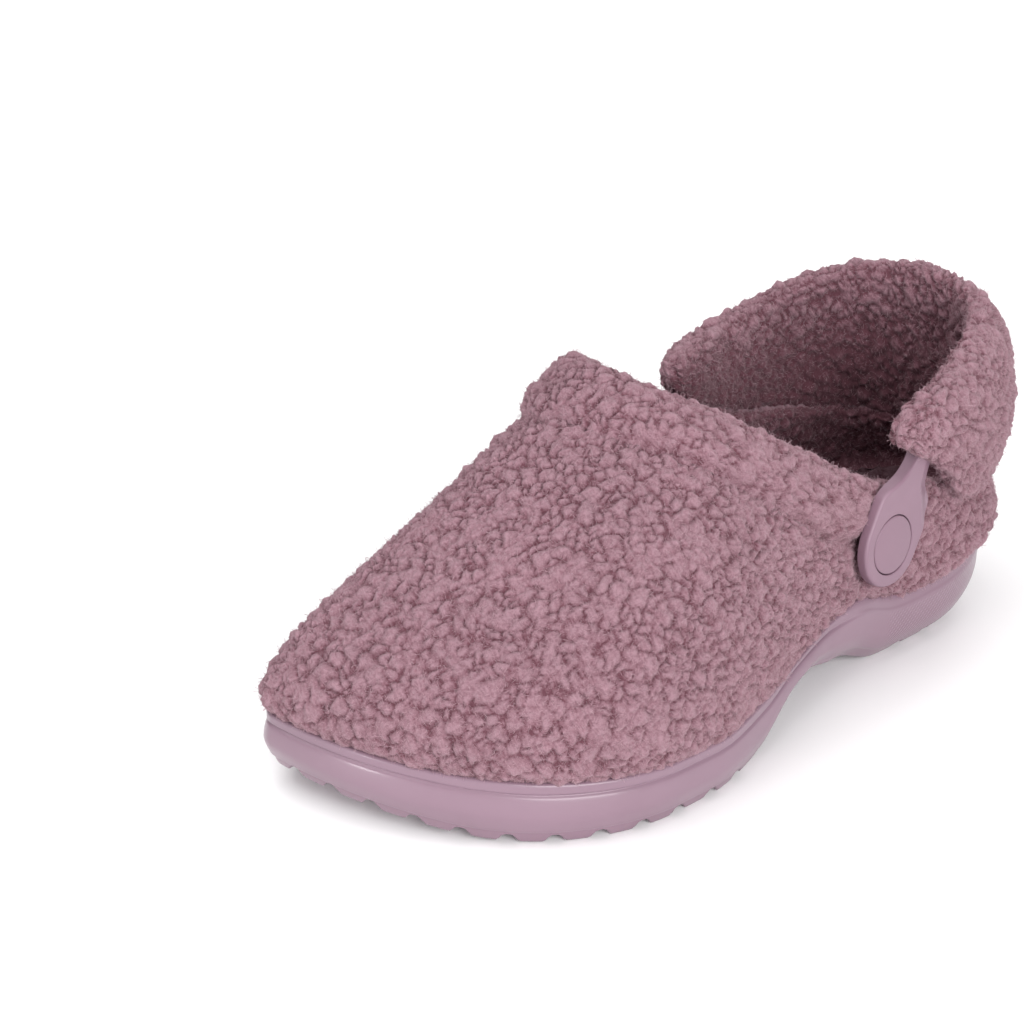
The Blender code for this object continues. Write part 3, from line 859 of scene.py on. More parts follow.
@dataclass
class Upper:
    """Fleece body of the slipper: vamp, throat cuff, heel panel and lining, on one curved wall."""

    last: Last
    stations: int = 540
    wall: float = 7.0
    cuff_width: float = 22.0
    medial_cuff_width: float = 26.5
    cuff_from: float = 40.0
    cuff_to: float = 54.0
    roll: float = 2.6
    seam_y: float = 47.0
    tuck: float = 5.0
    tuck_depth: float = 2.2
    seam_width: float = 1.9
    seam_depth: float = 1.3
    cuff_dip: float = 0.6
    bulge: float = 0.6
    bulge_at: float = 3.0
    cuff_depth: float = 26.0
    cuff_share: float = 0.7
    lining_depth: float = 24.0
    lining_share: float = 0.65
    lap: int = 7
    lap_depth: float = 2.0
    vamp_rows: int = 212
    cuff_rows: int = 46
    cuff_inner_rows: int = 34
    heel_rows: int = 56
    heel_inner_rows: int = 40
    roll_rows: int = 16
    lining_rows: int = 64
    foot_height: float = 2.5
    foot_round: float = 2.0
    foot_press: float = 1.3
    flare_inset: float = 10.5
    flare_lift: float = 1.3
    flare_height: float = 6.0
    blend: float = 2.0 / 32
    swell_low: float = 0.6
    reach: int = 10
    # Painted shade on the inner face, taken off the tone.
    painted_inner_shade: float = 0.6
    collar: Table = Table("y lateral_x medial_x run lateral_z medial_z", (
        (-124, -10.0, -10.0, -11.5, 107.4, 107.4),
        (-105, -2.5, -18.0, -10.6, 106.8, 106.9),
        (-77, 8.5, -27.0, -5.5, 104.2, 104.4),
        (-50, 19.0, -32.5, 4.0, 98.8, 99.2),
        (-33, 25.0, -34.8, 12.0, 93.0, 93.6),
        (-5, 31.5, -36.5, 26.5, 84.0, 84.5),
        (15, 35.5, -37.5, 38.0, 76.0, 76.5),
        (36, 38.0, -38.0, 52.0, 68.0, 68.5),
        (60, 39.0, -38.0, 67.0, 61.5, 61.5),
        (75, 39.5, -38.0, 79.0, 58.0, 58.0),
        (95, 39.0, -36.5, 98.0, 54.4, 54.4),
        (110, 34.5, -32.0, 114.0, 52.6, 52.6),
        (130, 1.5, 1.5, 133.0, 52.2, 52.2),
    ))
    form: Table = Table("y slope medial_slope full medial_full swell medial_swell foot", (
        (-124, 0.69, 0.74, 2.7, 2.8, 3.6, 3.4, 0.6),
        (-105, 0.59, 0.84, 2.4, 3.2, 3.8, 3.6, 0.7),
        (-77, 0.46, 0.73, 2.2, 3.4, 4.0, 4.0, 0.8),
        (-40, 0.36, 0.50, 2.2, 3.0, 3.5, 3.6, 0.8),
        (-5, 0.36, 0.40, 2.2, 2.6, 3.0, 3.0, 0.8),
        (36, 0.45, 0.45, 2.1, 2.1, 2.0, 2.0, 0.8),
        (60, 0.60, 0.60, 2.0, 2.0, 1.6, 1.6, -0.3),
        (88, 0.60, 0.60, 2.0, 2.0, 1.6, 1.6, -0.6),
        (110, 0.60, 0.60, 2.0, 2.0, 5.5, 5.5, -1.2),
        (130, 0.60, 0.60, 2.0, 2.0, 5.5, 5.5, 0.2),
    ))
    cuff: Table = Table("step lift", (
        (-0.14, 0.0),
        (0.0, 0.0),
        (0.13, 2.2),
        (0.36, 3.9),
        (0.70, 3.8),
        (1.0, 1.8),
    ))

    def __post_init__(self) -> None:
        """Lay out the wall once for all its pieces."""
        self.columns = self.last.columns(self.stations)
        self.fine = np.stack([self.level(share) for share in np.linspace(0, 1, 161)])
        steps = np.linalg.norm(np.diff(self.fine, axis=0), axis=2)
        self.run = np.concatenate([np.zeros((1, steps.shape[1])), np.cumsum(steps, axis=0)])
        self.length = self.run[-1]
        wide = np.where(self.columns.lateral, self.cuff_width, self.medial_cuff_width)
        wide = soften(wide, self.blend * self.stations)
        self.band = np.minimum(wide, 0.45 * self.length)

    def level(self, share: float) -> Array:
        """Outer face at one share of the way from the sole's rim to the collar.

        Args:
            share: From nought at the rim to one at the collar.

        Returns:
            One point per column.
        """
        columns = self.columns
        foot = columns.ring(self.form.read("foot", columns.at), self.last.side.read("rim", columns.at) + GAP)
        edge = np.column_stack([
            columns.by_side(self.collar, "lateral_x", "medial_x"),
            self.collar.read("run", columns.at),
            columns.by_side(self.collar, "lateral_z", "medial_z"),
        ])
        rise = edge - foot
        power = 2 / columns.by_side(self.form, "full", "medial_full", self.blend)
        slope = columns.by_side(self.form, "slope", "medial_slope", self.blend)
        bend = share * math.pi / 2
        run = 1 - max(math.cos(bend), 0.0) ** power
        climb = (1 - slope) * math.sin(bend) ** power + slope * run
        swell = columns.by_side(self.form, "swell", "medial_swell", self.blend)
        swell = swell * math.sin(math.pi * share**self.swell_low)
        flat = foot[:, :2] + rise[:, :2] * run[:, None] + columns.outward * swell[:, None]
        return np.column_stack([flat, foot[:, 2] + rise[:, 2] * climb])

    def outer(self, places: Array, under: bool = False) -> tuple[Array, Array]:
        """Outer face with the cuff raised and the seams drawn in.

        Args:
            places: Distance up the wall from the rim, rows by columns.
            under: Whether the face goes on under the cuff in place of rising into it.

        Returns:
            Points and outward directions.
        """
        points = np.zeros((*places.shape, 3))
        for k in range(places.shape[1]):
            for c in range(3):
                points[:, k, c] = np.interp(places[:, k], self.run[:, k], self.fine[:, k, c])
        way = 1.0 if places[-1].sum() > places[0].sum() else -1.0
        normals = grid_normals(points, True, self.reach) * way
        at = self.columns.at
        weight = np.clip((self.cuff_to - at) / (self.cuff_to - self.cuff_from), 0, 1)
        from_seam = places - (self.length - self.band)
        if under:
            lift = -self.tuck_depth * smooth(-0.5, 4.0, from_seam) * np.ones_like(weight)
        else:
            lift = self.cuff.read("lift", from_seam / self.band) * weight
        lift = lift - self.cuff_dip * np.exp(-((from_seam / self.seam_width) ** 2)) * weight
        below = smooth(3.0, -3.0, from_seam)
        lift = lift - self.seam_depth * np.exp(-(((at - self.seam_y) / self.seam_width) ** 2)) * below
        lift = lift + self.bulge * np.exp(-(((places - self.bulge_at) / self.bulge_at) ** 2))
        return points + normals * lift[:, :, None], normals

    def foot(self, places: Array, normals: Array) -> Array:
        """How far the wall's lower edge rounds under and presses onto the sole.

        Args:
            places: Distance up the wall from the rim, rows by columns.
            normals: Directions out of the fleece.

        Returns:
            What to add to the points.
        """
        low = np.clip(1 - places / self.foot_height, 0, 1)
        under = self.foot_round * (1 - np.sqrt(1 - low**2))
        moved = -normals * np.array([1.0, 1.0, 0.0]) * under[:, :, None]
        moved[:, :, 2] -= self.foot_press * low**2
        return moved

    def inside(self, points: Array, normals: Array, places: Array) -> Array:
        """Inner face of the wall, which flares at its foot to meet the footbed.

        Args:
            points: Points of the outer face.
            normals: Directions out of it.
            places: Distance up the wall from the rim, rows by columns.

        Returns:
            Points of the inner face.
        """
        level = np.column_stack([self.columns.outward, np.zeros(len(self.columns.at))])
        low = smooth(16.0, 3.0, places)[:, :, None]
        away = unit(normals * (1 - low) + level * low)
        rim = self.last.side.read("rim", self.columns.at)
        meet = self.columns.ring(self.flare_inset, rim + self.flare_lift)
        near = np.clip(1 - places / self.flare_height, 0, 1)
        share = (1 - np.sqrt(1 - near**2))[:, :, None]
        return (points - away * self.wall) * (1 - share) + meet * share

    def thin(self, places: Array) -> Array:
        """Share of the pile's height on the inner face, which lies flat at its foot."""
        return 0.3 + 0.7 * smooth(1.0, 9.0, places)

    def over_edge(self, down: Array, down_rows: int) -> tuple[Array, Array]:
        """The collar's rolled edge and the inner face below it.

        Args:
            down: How far down the inner face goes, per column.
            down_rows: Rows on the inner face.

        Returns:
            Points and directions out of the fleece, rows by columns.
        """
        top = self.length - self.roll
        share = np.linspace(0, 1, down_rows + 1)[:, None]
        inside = top - share * down
        points, normals = self.outer(inside)
        inner = self.inside(points, normals, inside)
        edge = points[0]
        out = normals[0]
        climb, _ = self.outer(np.stack([top - 1.0, top + 1.0]))
        up = unit(climb[1] - climb[0])
        middle = edge - out * self.wall / 2
        turn = np.linspace(0, math.pi, self.roll_rows + 1)[1:, None, None]
        roll = middle + out * self.wall / 2 * np.cos(turn) + up * self.roll * np.sin(turn)
        roll_out = unit(out * np.cos(turn) / self.wall * 2 + up * np.sin(turn) / self.roll)
        return np.concatenate([roll, inner[1:]]), np.concatenate([roll_out, -normals[1:]])

    def build(self, maker: Maker, pile: Pile, fleece: Material, inner: Material) -> list[Object]:
        """Make the fleece pieces.

        Args:
            maker: Makes the pieces.
            pile: Raises the curls.
            fleece: Their finish.
            inner: Finish of the lining, a darker copy of the fleece that paints in the inside's shade.

        Returns:
            The pieces.
        """
        count = len(self.columns.at)
        turn = int(np.searchsorted(self.columns.at[: self.stations + 1], self.seam_y))
        front = np.r_[count - turn:count, 0:turn + 1]
        rear = np.arange(turn - self.lap, count - turn + 1 + self.lap)
        sink = self.lap_depth * smooth(self.seam_y, self.columns.at[turn - self.lap], self.columns.at)[rear]
        seam = self.length - self.band

        places = np.linspace(0, 1, self.vamp_rows)[:, None] * (seam + self.tuck)
        points, normals = self.outer(places, True)
        points = points + self.foot(places, normals)
        low = smooth(0.0, 7.0, places)
        vamp = Patch(points[:, front], normals[:, front], lush=(0.8 + 0.2 * low)[:, front])

        share = np.linspace(0, 1, self.cuff_rows)[:, None]
        face, face_out = self.outer(seam + share * (self.band - self.roll))
        depth = np.minimum(self.cuff_depth, self.cuff_share * self.length)
        over, over_out = self.over_edge(depth, self.cuff_inner_rows)
        some = front[::2]
        cuff = Patch(np.concatenate([face, over])[:, some], np.concatenate([face_out, over_out])[:, some])

        wall = self.length - self.roll
        places = np.linspace(0, 1, self.heel_rows)[:, None] * wall
        face, face_out = self.outer(places)
        face = face + self.foot(places, face_out)
        over, over_out = self.over_edge(wall, self.heel_inner_rows)
        heel_out = np.concatenate([face_out, over_out])[:, rear]
        heel_points = np.concatenate([face, over])[:, rear] - heel_out * sink[None, :, None]
        heel_lush = np.ones(heel_out.shape[:2])
        down = np.linspace(1, 0, self.heel_inner_rows + 1)[1:, None]
        heel_lush[-self.heel_inner_rows:] = self.thin(down * wall)[:, rear]
        heel = Patch(heel_points, heel_out, lush=heel_lush)

        pile.grow([vamp, cuff, heel])
        # Painted shade: the tone on the inner rows past the collar's roll is lowered so the inside reads
        # darker.
        for patch, rows in ((cuff, self.cuff_rows), (heel, self.heel_rows)):
            patch.tone[rows + self.roll_rows // 2:] -= self.painted_inner_shade

        top = wall - np.minimum(self.lining_depth, self.lining_share * self.length)
        places = np.linspace(1, 0, self.lining_rows)[:, None] * top
        inside, inside_out = self.outer(places)
        inside = self.inside(inside, inside_out, places)
        some = front[::3]
        lining = Patch(inside[:, some], -inside_out[:, some], lush=self.thin(places)[:, some])
        pile.grow([lining], share=0.8)

        parts = (
            ("vamp_medial", vamp.cut(0, turn), fleece),
            ("vamp_lateral", vamp.cut(turn, 2 * turn), fleece),
            ("throat_cuff", cuff, fleece),
            ("heel_panel", heel, fleece),
            ("lining", lining, inner),
        )
        return [maker.piece(name, patch, finish, ("upper",)) for name, patch, finish in parts]


@dataclass
class HeelStrap:
    """Padded fleece strap round the heel."""

    centre: tuple[float, float] = (1.5, 84.0)
    reach: tuple[float, float] = (44.0, 45.5)
    square: float = 2.2
    draw: float = 8.0
    twist: float = 6.0
    edge: float = 3.2
    stations: int = 330
    around: int = 150
    cap: int = 12
    cap_length: float = 2.5
    # Painted shade on the strap's inner face, taken off the tone.
    painted_inner_shade: float = 0.7
    usual: tuple[float, float] = (6.0, 20.0)
    lateral: Table = Table("turn height half_height half_thick lean", (
        (-38, 82.5, 4.5, 4.0, 0.0),
        (-33, 82.5, 7.0, 5.4, 0.5),
        (-25, 82.0, 9.5, 6.2, 1.5),
        (-14, 80.5, 13.0, 6.8, 3.0),
        (-4, 78.0, 17.0, 7.0, 5.0),
        (6, 76.4, 20.0, 7.0, 6.8),
        (25, 75.8, 21.8, 7.0, 7.6),
        (50, 76.6, 23.6, 7.0, 5.5),
        (90, 77.4, 24.4, 6.8, 3.5),
    ))
    medial: Table = Table("turn height half_height half_thick lean", (
        (-52, 82.8, 4.2, 4.0, 0.0),
        (-46, 82.0, 7.0, 5.4, 0.0),
        (-36, 81.6, 8.2, 6.0, 0.0),
        (-20, 79.6, 9.8, 6.2, 0.0),
        (-4, 76.6, 13.4, 6.4, 0.0),
        (6, 74.6, 16.4, 6.4, 0.5),
        (25, 73.9, 19.9, 6.5, 2.0),
        (50, 75.4, 22.4, 6.6, 3.0),
        (90, 77.4, 24.4, 6.8, 3.5),
    ))
    hang: Table = Table("whole inside outside tuck crown", (
        (-38, 0.0, 0.0, 0.0, 0.0),
        (-14, 3.0, 3.5, 0.5, 0.0),
        (-4, 6.5, 7.0, 2.5, 0.0),
        (6, 6.0, 7.0, 4.0, 0.5),
        (25, 5.5, 6.0, 4.5, 1.5),
        (60, 5.0, 5.5, 3.5, 2.8),
        (90, 5.0, 5.5, 3.0, 2.8),
        (155, 5.0, 5.0, 4.5, 1.0),
        (174, 6.5, 5.5, 3.0, 0.0),
        (184, 9.0, 5.5, 0.5, 0.0),
        (200, 10.0, 4.5, 0.0, 0.0),
        (216, 7.5, 2.5, 0.0, 0.0),
        (232, 2.0, 0.0, 0.0, 0.0),
    ))

    def size(self, name: str, whole: Array) -> Array:
        """Read a size from the table of each place's side.

        Args:
            name: The size's name.
            whole: Turn from the lateral end round to the medial end, in degrees.

        Returns:
            One value per turn.
        """
        return np.where(whole <= 90, self.lateral.read(name, whole), self.medial.read(name, 180 - whole))

    def middle(self, whole: Array) -> Array:
        """Middle line of the strap.

        Args:
            whole: Turn from the lateral end round to the medial end, in degrees.

        Returns:
            One point per turn.
        """
        side = np.where(whole <= 90, 1.0, -1.0)
        turn = np.where(whole <= 90, whole, 180 - whole)
        angle = np.radians(turn)
        ahead = self.reach[0] - self.draw * angle**2
        behind = self.reach[0] * np.clip(np.cos(angle), 0, 1) ** (2 / self.square)
        x = side * np.where(turn < 0, ahead, behind)
        y = np.where(turn < 0, self.reach[1] * angle, self.reach[1] * np.sin(angle))
        twist = math.radians(self.twist)
        right = self.centre[0] + x * math.cos(twist) - y * math.sin(twist)
        rear = self.centre[1] + x * math.sin(twist) + y * math.cos(twist)
        return np.column_stack([right, rear, self.size("height", whole)])

    def section(self) -> tuple[Array, Array]:
        """Rounded oblong outline of the strap, evenly spaced.

        Returns:
            Share of the half thickness and share of the half height.
        """
        angle = np.linspace(0, 2 * math.pi, 2001)
        c = np.sign(np.cos(angle)) * np.abs(np.cos(angle)) ** (2 / self.edge)
        s = np.sign(np.sin(angle)) * np.abs(np.sin(angle)) ** (2 / self.edge)
        steps = np.hypot(np.diff(c) * self.usual[0], np.diff(s) * self.usual[1])
        run = np.concatenate([[0], np.cumsum(steps)])
        places = np.linspace(0, run[-1], self.around, endpoint=False)
        return np.interp(places, run, c), np.interp(places, run, s)

    def build(self, maker: Maker, pile: Pile, fleece: Material) -> Object:
        """Make the strap.

        Args:
            maker: Makes the piece.
            pile: Raises the curls.
            fleece: Its finish.

        Returns:
            The piece.
        """
        dense = np.linspace(self.lateral.rows[0][0], 180 - self.medial.rows[0][0], 4001)
        line = self.middle(dense)
        run = run_along(line)
        whole = np.interp(np.linspace(0, run[-1], self.stations), run, dense)
        middle = self.middle(whole)
        tangent = unit(np.gradient(middle, axis=0) * np.array([1.0, 1.0, 0.0]))
        out = np.column_stack([tangent[:, 1], -tangent[:, 0], np.zeros(len(tangent))])
        size = np.column_stack(
            [self.size(n, whole) for n in ("half_thick", "half_height", "lean")]
            + [self.hang.read(n, whole) for n in ("inside", "outside", "tuck", "crown")])
        away = np.sin(np.linspace(0, math.pi / 2, self.cap + 1)[1:])
        shrink = np.sqrt(np.maximum(1 - away**2, 0.0004))
        ends = []
        for i, way in ((0, -1.0), (-1, 1.0)):
            place = middle[i] + tangent[i] * way * self.cap_length * away[:, None]
            ends.append((place, np.repeat(out[i:][:1], self.cap, 0), size[i] * shrink[:, None]))
        middle = np.vstack([ends[0][0][::-1], middle, ends[1][0]])
        out = np.vstack([ends[0][1], out, ends[1][1]])
        size = np.vstack([ends[0][2][::-1], size, ends[1][2]])
        c, s = self.section()
        low = np.maximum(-s, 0) ** 2
        outer = (1 + c) / 2
        sideways = size[:, :1] * c - size[:, 2:3] * np.maximum(s, 0) ** 2 - size[:, 5:6] * low * outer
        height = (size[:, 1:2] * s + size[:, 6:7] * np.maximum(s, 0) ** 2
                  - (size[:, 3:4] * (1 - outer) + size[:, 4:5] * outer) * low)
        points = middle[:, None, :] + out[:, None, :] * sideways[:, :, None]
        points[:, :, 2] += height
        normals = grid_normals(points, True)
        centre = points.mean(axis=1, keepdims=True)
        turned = ((points - centre) * normals).sum() < 0
        if turned:
            points = points[:, ::-1]
            normals = grid_normals(points, True)
        patch = Patch(points, normals, ring=True)
        pile.grow([patch])
        # Painted shade: the tone on the strap's inner face, most towards its lower part, is lowered so it
        # reads darker.
        deep = smooth(0.3, -0.8, c) * (0.35 + 0.65 * smooth(0.8, -0.5, s))
        patch.tone -= self.painted_inner_shade * (deep[::-1] if turned else deep)[None, :]
        made = maker.piece("heel_strap_fleece", patch, fleece, ("heel_strap",))
        return made


@dataclass
class Footbed:
    """Fleece footbed on the sole."""

    last: Last
    stations: int = 210
    across: int = 64
    inset: float = 9.8
    thick: float = 5.0
    soft: float = 1.6

    def build(self, maker: Maker, pile: Pile, fleece: Material) -> Object:
        """Make the footbed's top and edge.

        Args:
            maker: Makes the piece.
            pile: Raises the curls.
            fleece: Its finish.

        Returns:
            The piece.
        """
        columns = self.last.columns(self.stations)
        loop = columns.ring(self.inset, self.last.side.read("rim", columns.at) + GAP)
        right, left = columns.halves(loop)
        dish = self.last.side.read("dish", columns.at[: self.stations + 1])
        share = np.linspace(0, 1, self.across)
        share = (1 - np.cos(math.pi * share)) / 2
        points = right[:, None, :] * (1 - share[None, :, None]) + left[:, None, :] * share[None, :, None]
        hump = 4 * share * (1 - share)
        width = np.linalg.norm(right - left, axis=1)
        edge = np.minimum(share, 1 - share)[None, :] * width[:, None]
        crown = self.thick * smooth(0.0, 1.0, np.clip(edge / self.soft, 0, 1))
        points[:, :, 2] += crown - dish[:, None] * hump[None, :]
        normals = grid_normals(points, False)
        if normals[..., 2].mean() < 0:
            points = points[:, ::-1]
            normals = grid_normals(points, False)
        normals[[0, -1]] = (0.0, 0.0, 1.0)
        patch = Patch(points, normals)
        pile.grow([patch], share=0.7)
        made = maker.piece("footbed_fleece", patch, fleece, ("insole",))
        return made


@dataclass
class Sole:
    """Moulded foam sole with its bead, groove, lugs, arch and heel block."""

    last: Last
    stations: int = 400
    bead_from: float = 32.0
    bead_to: float = 52.0
    lug_pitch: float = 13.4
    lug_gap: float = 4.6
    lug_depth: float = 2.8
    lug_reach: float = 10.0
    forefoot_end: float = -10.0
    heel_start: float = 66.0
    panel_from: float = 60.0
    panel_to: float = 66.0
    across: int = 12
    wall: Table = Table("level share front heel", (
        (0, 0.00, 9.0, 9.0),
        (1, 0.00, 1.4, 1.4),
        (2, 0.05, 0.2, 0.3),
        (3, 0.145, 0.2, -0.5),
        (4, 0.185, 0.75, -0.9),
        (5, 0.235, 0.0, -1.1),
        (6, 0.50, -0.9, -0.9),
        (7, 0.72, 0.3, 1.0),
        (8, 0.79, 0.9, 2.2),
        (9, 0.81, 1.7, 3.2),
        (10, 0.90, 2.2, 5.0),
        (11, 1.00, 3.4, 8.0),
        (12, 1.00, 14.0, 14.0),
    ))

    def lug_gaps(self, columns: Columns) -> Array:
        """How much of a gap between lugs each column lies in.

        Args:
            columns: The columns.

        Returns:
            From nought on a lug to one in a gap.
        """
        count = int(self.last.columns(32).run()[-1] / self.lug_pitch)
        run = columns.run()
        pitch = run[-1] / count
        off = np.abs((run[:-1] / pitch) % 1.0 - 0.5) * pitch
        gap = smooth(self.lug_gap / 2 + 1.5, self.lug_gap / 2 - 1.5, off)
        ends = smooth(self.forefoot_end + 2, self.forefoot_end - 2, columns.at)
        ends = ends + smooth(self.heel_start - 2, self.heel_start + 2, columns.at)
        return gap * ends

    def build(self, maker: Maker, foam: Material) -> list[Object]:
        """Make the sole.

        Args:
            maker: Makes the pieces.
            foam: Their finish.

        Returns:
            The body, the tread's face and the deck under the footbed.
        """
        columns = self.last.columns(self.stations)
        spread = self.stations / 120
        rim = soften(self.last.side.read("rim", columns.at), spread)
        under = soften(self.last.side.read("under", columns.at), spread)
        front = smooth(self.bead_to, self.bead_from, columns.at)
        gap = self.lug_gaps(columns)
        levels = np.concatenate([
            np.linspace(0, 1, 3)[:-1], np.linspace(1, 3, 9)[:-1], np.linspace(3, 5, 11)[:-1],
            np.linspace(5, 9, 17)[:-1], np.linspace(9, 11, 9)[:-1], np.linspace(11, 12, 5),
        ])
        run = columns.run()[:-1]
        rows = []
        flat = []
        panel = []
        for level in levels:
            inset = self.wall.read("front", level) * front + self.wall.read("heel", level) * (1 - front)
            height = rim + (under - rim) * self.wall.read("share", level)
            reach = 1 - smooth(self.lug_reach - 1, self.lug_reach + 1, inset)
            ceiling = under + self.lug_depth * gap * reach
            height = np.maximum(height, ceiling)
            rows.append(columns.ring(inset, height))
            flat.append(np.column_stack([run, height]) * MM)
            block = smooth(rim - 4, rim - 6, height) * smooth(under + 3, under + 5, height)
            block = block * smooth(self.panel_from, self.panel_to, columns.at)
            panel.append(block if level > 1 else np.zeros(len(run)))
        points = np.stack(rows[::-1])
        body = Patch(points, ring=True, tone=np.stack(panel[::-1]), flat=np.stack(flat[::-1]))
        right, left = columns.halves(points[0])
        tread = self.face(right, left, np.zeros(len(right)))
        right, left = columns.halves(points[-1])
        deck = self.face(left, right, self.last.side.read("dish", columns.at[: self.stations + 1]))
        parts = (("sole_foam_body", body), ("sole_tread", tread), ("sole_deck", deck))
        return [maker.piece(name, patch, foam, ("sole",)) for name, patch in parts]

    def face(self, start: Array, end: Array, dish: Array) -> Patch:
        """A face that spans the shoe from one side to the other.

        Args:
            start: Points on the side it starts from.
            end: Points on the other side.
            dish: How far its middle sinks at each pair of points.

        Returns:
            The face.
        """
        share = np.linspace(0, 1, self.across)[None, :, None]
        points = start[:, None, :] * (1 - share) + end[:, None, :] * share
        points[:, :, 2] -= dish[:, None] * (4 * share * (1 - share))[:, :, 0]
        return Patch(points, tone=np.zeros(points.shape[:2]), flat=points[:, :, :2] * MM)


@dataclass
class Fastening:
    """One strap tab and the button that holds it to the upper."""

    side: Side
    turn: float = 4.0
    tilt: float = 3.0
    rake: float = 57.0
    thick: float = 3.6
    dome: float = 0.8
    button: float = 9.2
    soft: float = 1.1
    groove: float = 0.28
    bevel: float = 0.35
    button_bevel: float = 0.5
    button_middle: float = 0.05
    around: int = 180
    outline: Table = Table("along front rear", (
        (0, 13.4, 13.4),
        (6, 13.5, 13.4),
        (11, 13.4, 13.5),
        (14, 12.2, 13.6),
        (17, 9.8, 12.8),
        (20, 7.4, 9.4),
        (23, 5.9, 6.2),
        (27, 5.0, 5.1),
        (34, 4.8, 4.8),
    ))

    def axes(self) -> tuple[Array, Array, Array]:
        """Directions out of the shoe, along the tab to the strap, and across it.

        Returns:
            Three unit vectors.
        """
        turn = math.radians(self.turn)
        tilt = math.radians(self.tilt)
        rake = math.radians(self.rake)
        level = np.array([math.cos(turn), math.sin(turn), 0.0])
        normal = level * math.cos(tilt) + np.array([0.0, 0.0, math.sin(tilt)])
        rear = np.array([-math.sin(turn), math.cos(turn), 0.0])
        along = rear * math.cos(rake) + np.cross(normal, rear) * math.sin(rake)
        across = np.cross(normal, along)
        mirror = np.array([1.0 if self.side is Side.LATERAL else -1.0, 1.0, 1.0])
        return normal * mirror, along * mirror, across * mirror

    def pivot(self, offset: Array) -> Array:
        """Middle of the button on the upper's face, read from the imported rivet.

        Args:
            offset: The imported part's origin in the drawing's frame.

        Returns:
            The point, in the drawing's frame.
        """
        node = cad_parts["rivet_" + self.side.value]
        points = np.array([tuple(v.co) for v in node.data.vertices]) / MM + offset
        normal, along, across = self.axes()
        middle = sum(axis * ((points @ axis).min() + (points @ axis).max()) / 2 for axis in (along, across))
        return middle + normal * ((points @ normal).max() - self.thick - self.dome)

    def rim(self) -> tuple[Array, Array]:
        """Outline of the tab seen from the button's middle.

        Returns:
            Angles round the button and the outline's distance at each.
        """
        last = self.outline.rows[-1][0]
        radius = self.outline.rows[0][1]
        back = np.linspace(math.pi, math.pi / 2, 60)[:-1]
        run = np.linspace(0, last, 160)
        spots = np.linspace(-math.pi, math.pi, self.around, endpoint=False)
        spots = spots - 0.55 * np.sin(spots)
        reach = np.zeros_like(spots)
        for name, side in (("front", spots >= 0), ("rear", spots < 0)):
            along = np.concatenate([radius * np.cos(back), run, np.full(20, last)])
            edge = self.outline.read(name, run)
            wide = np.concatenate([radius * np.sin(back), edge, np.linspace(edge[-1], 0, 21)[1:]])
            angle = np.arctan2(wide, along)
            order = np.argsort(angle)
            reach[side] = np.interp(np.abs(spots[side]), angle[order], np.hypot(along, wide)[order])
        return spots, reach

    def top(self, along: Array, across: Array) -> Array:
        """Height of the tab's face, with a fold that drops to the rear edge of the neck.

        Args:
            along: Distance from the button towards the strap.
            across: Distance towards the front edge.

        Returns:
            Height above the upper.
        """
        ridge = np.interp(along, [6, 13, 20, 30], [-13.5, -8.0, -1.5, 0.0])
        fold = np.maximum(ridge - across, 0.0) * smooth(7, 13, along)
        raised = 0.9 * smooth(9, 18, along)
        return self.thick + raised - np.minimum(0.36 * fold, 2.2)

    def build(self, maker: Maker, plastic: Material, knob: Material) -> list[Object]:
        """Make the tab and its button.

        Args:
            maker: Makes the pieces.
            plastic: The tab's finish.
            knob: The button's finish.

        Returns:
            The two pieces.
        """
        normal, along, across = self.axes()
        pivot = self.pivot(maker.offset)
        angle, reach = self.rim()
        inner = self.button + self.groove
        wide = inner + self.bevel
        one = np.ones_like(reach)
        rows = [(inner * one, depth, False) for depth in (0.0, 1.2, self.thick - self.bevel)]
        for turn in np.linspace(0, math.pi / 2, 4):
            out = inner + self.bevel * (1 - np.cos(turn))
            rows.append((out * one, -self.bevel * (1 - np.sin(turn)), True))
        for share in np.linspace(0.06, 1, 18):
            rows.append((wide + (reach - self.soft - wide) * share, 0.0, True))
        for turn in np.linspace(0, math.pi / 2, 8)[1:]:
            rows.append((reach - self.soft * (1 - np.sin(turn)), -self.soft * (1 - np.cos(turn)), True))
        rows += [(reach, 0.3, False), (reach - 0.4, 0.0, False), (inner * one, 0.0, False)]
        points = []
        for distance, level, on_top in rows:
            a = distance * np.cos(angle)
            w = distance * np.sin(angle)
            height = self.top(a, w) + level if on_top else level * one
            points.append(pivot + along * a[:, None] + across * w[:, None] + normal * height[:, None])
        tab = Patch(self.facing(np.stack(points), normal), ring=True)
        name = self.side.value
        node = "strap_tab_" + name
        made = [maker.piece(node + "_moulded", tab, plastic, (node,))]
        turns = np.linspace(0, 2 * math.pi, 96, endpoint=False)
        flat = self.button - self.button_bevel
        side = self.thick - self.button_bevel
        profile = [(self.button_middle, 0.0), (self.button, 0.0), (self.button, side)]
        for bend in np.linspace(0, math.pi / 2, 6)[1:]:
            over = self.button_bevel * math.cos(bend)
            profile.append((flat + over, side + self.button_bevel * math.sin(bend)))
        for share in np.linspace(0, 1, 12)[1:]:
            radius = flat * (1 - share) + self.button_middle * share
            profile.append((radius, self.thick + 0.35 * self.dome * (1 - (radius / self.button) ** 2)))
        face = [pivot + normal * h + r * (along * np.cos(turns)[:, None] + across * np.sin(turns)[:, None])
                for r, h in profile]
        knob_patch = Patch(self.facing(np.stack(face), normal), ring=True)
        made.append(maker.piece("button_" + name, knob_patch, knob, ("rivet_" + name,)))
        return made

    def facing(self, points: Array, normal: Array) -> Array:
        """Order a grid's columns so that its face looks out of the shoe.

        Args:
            points: The grid.
            normal: Direction out of the shoe.

        Returns:
            The grid, turned over if it needs to be.
        """
        facing = (grid_normals(points, True) @ normal).sum()
        return points if facing > 0 else points[:, ::-1]


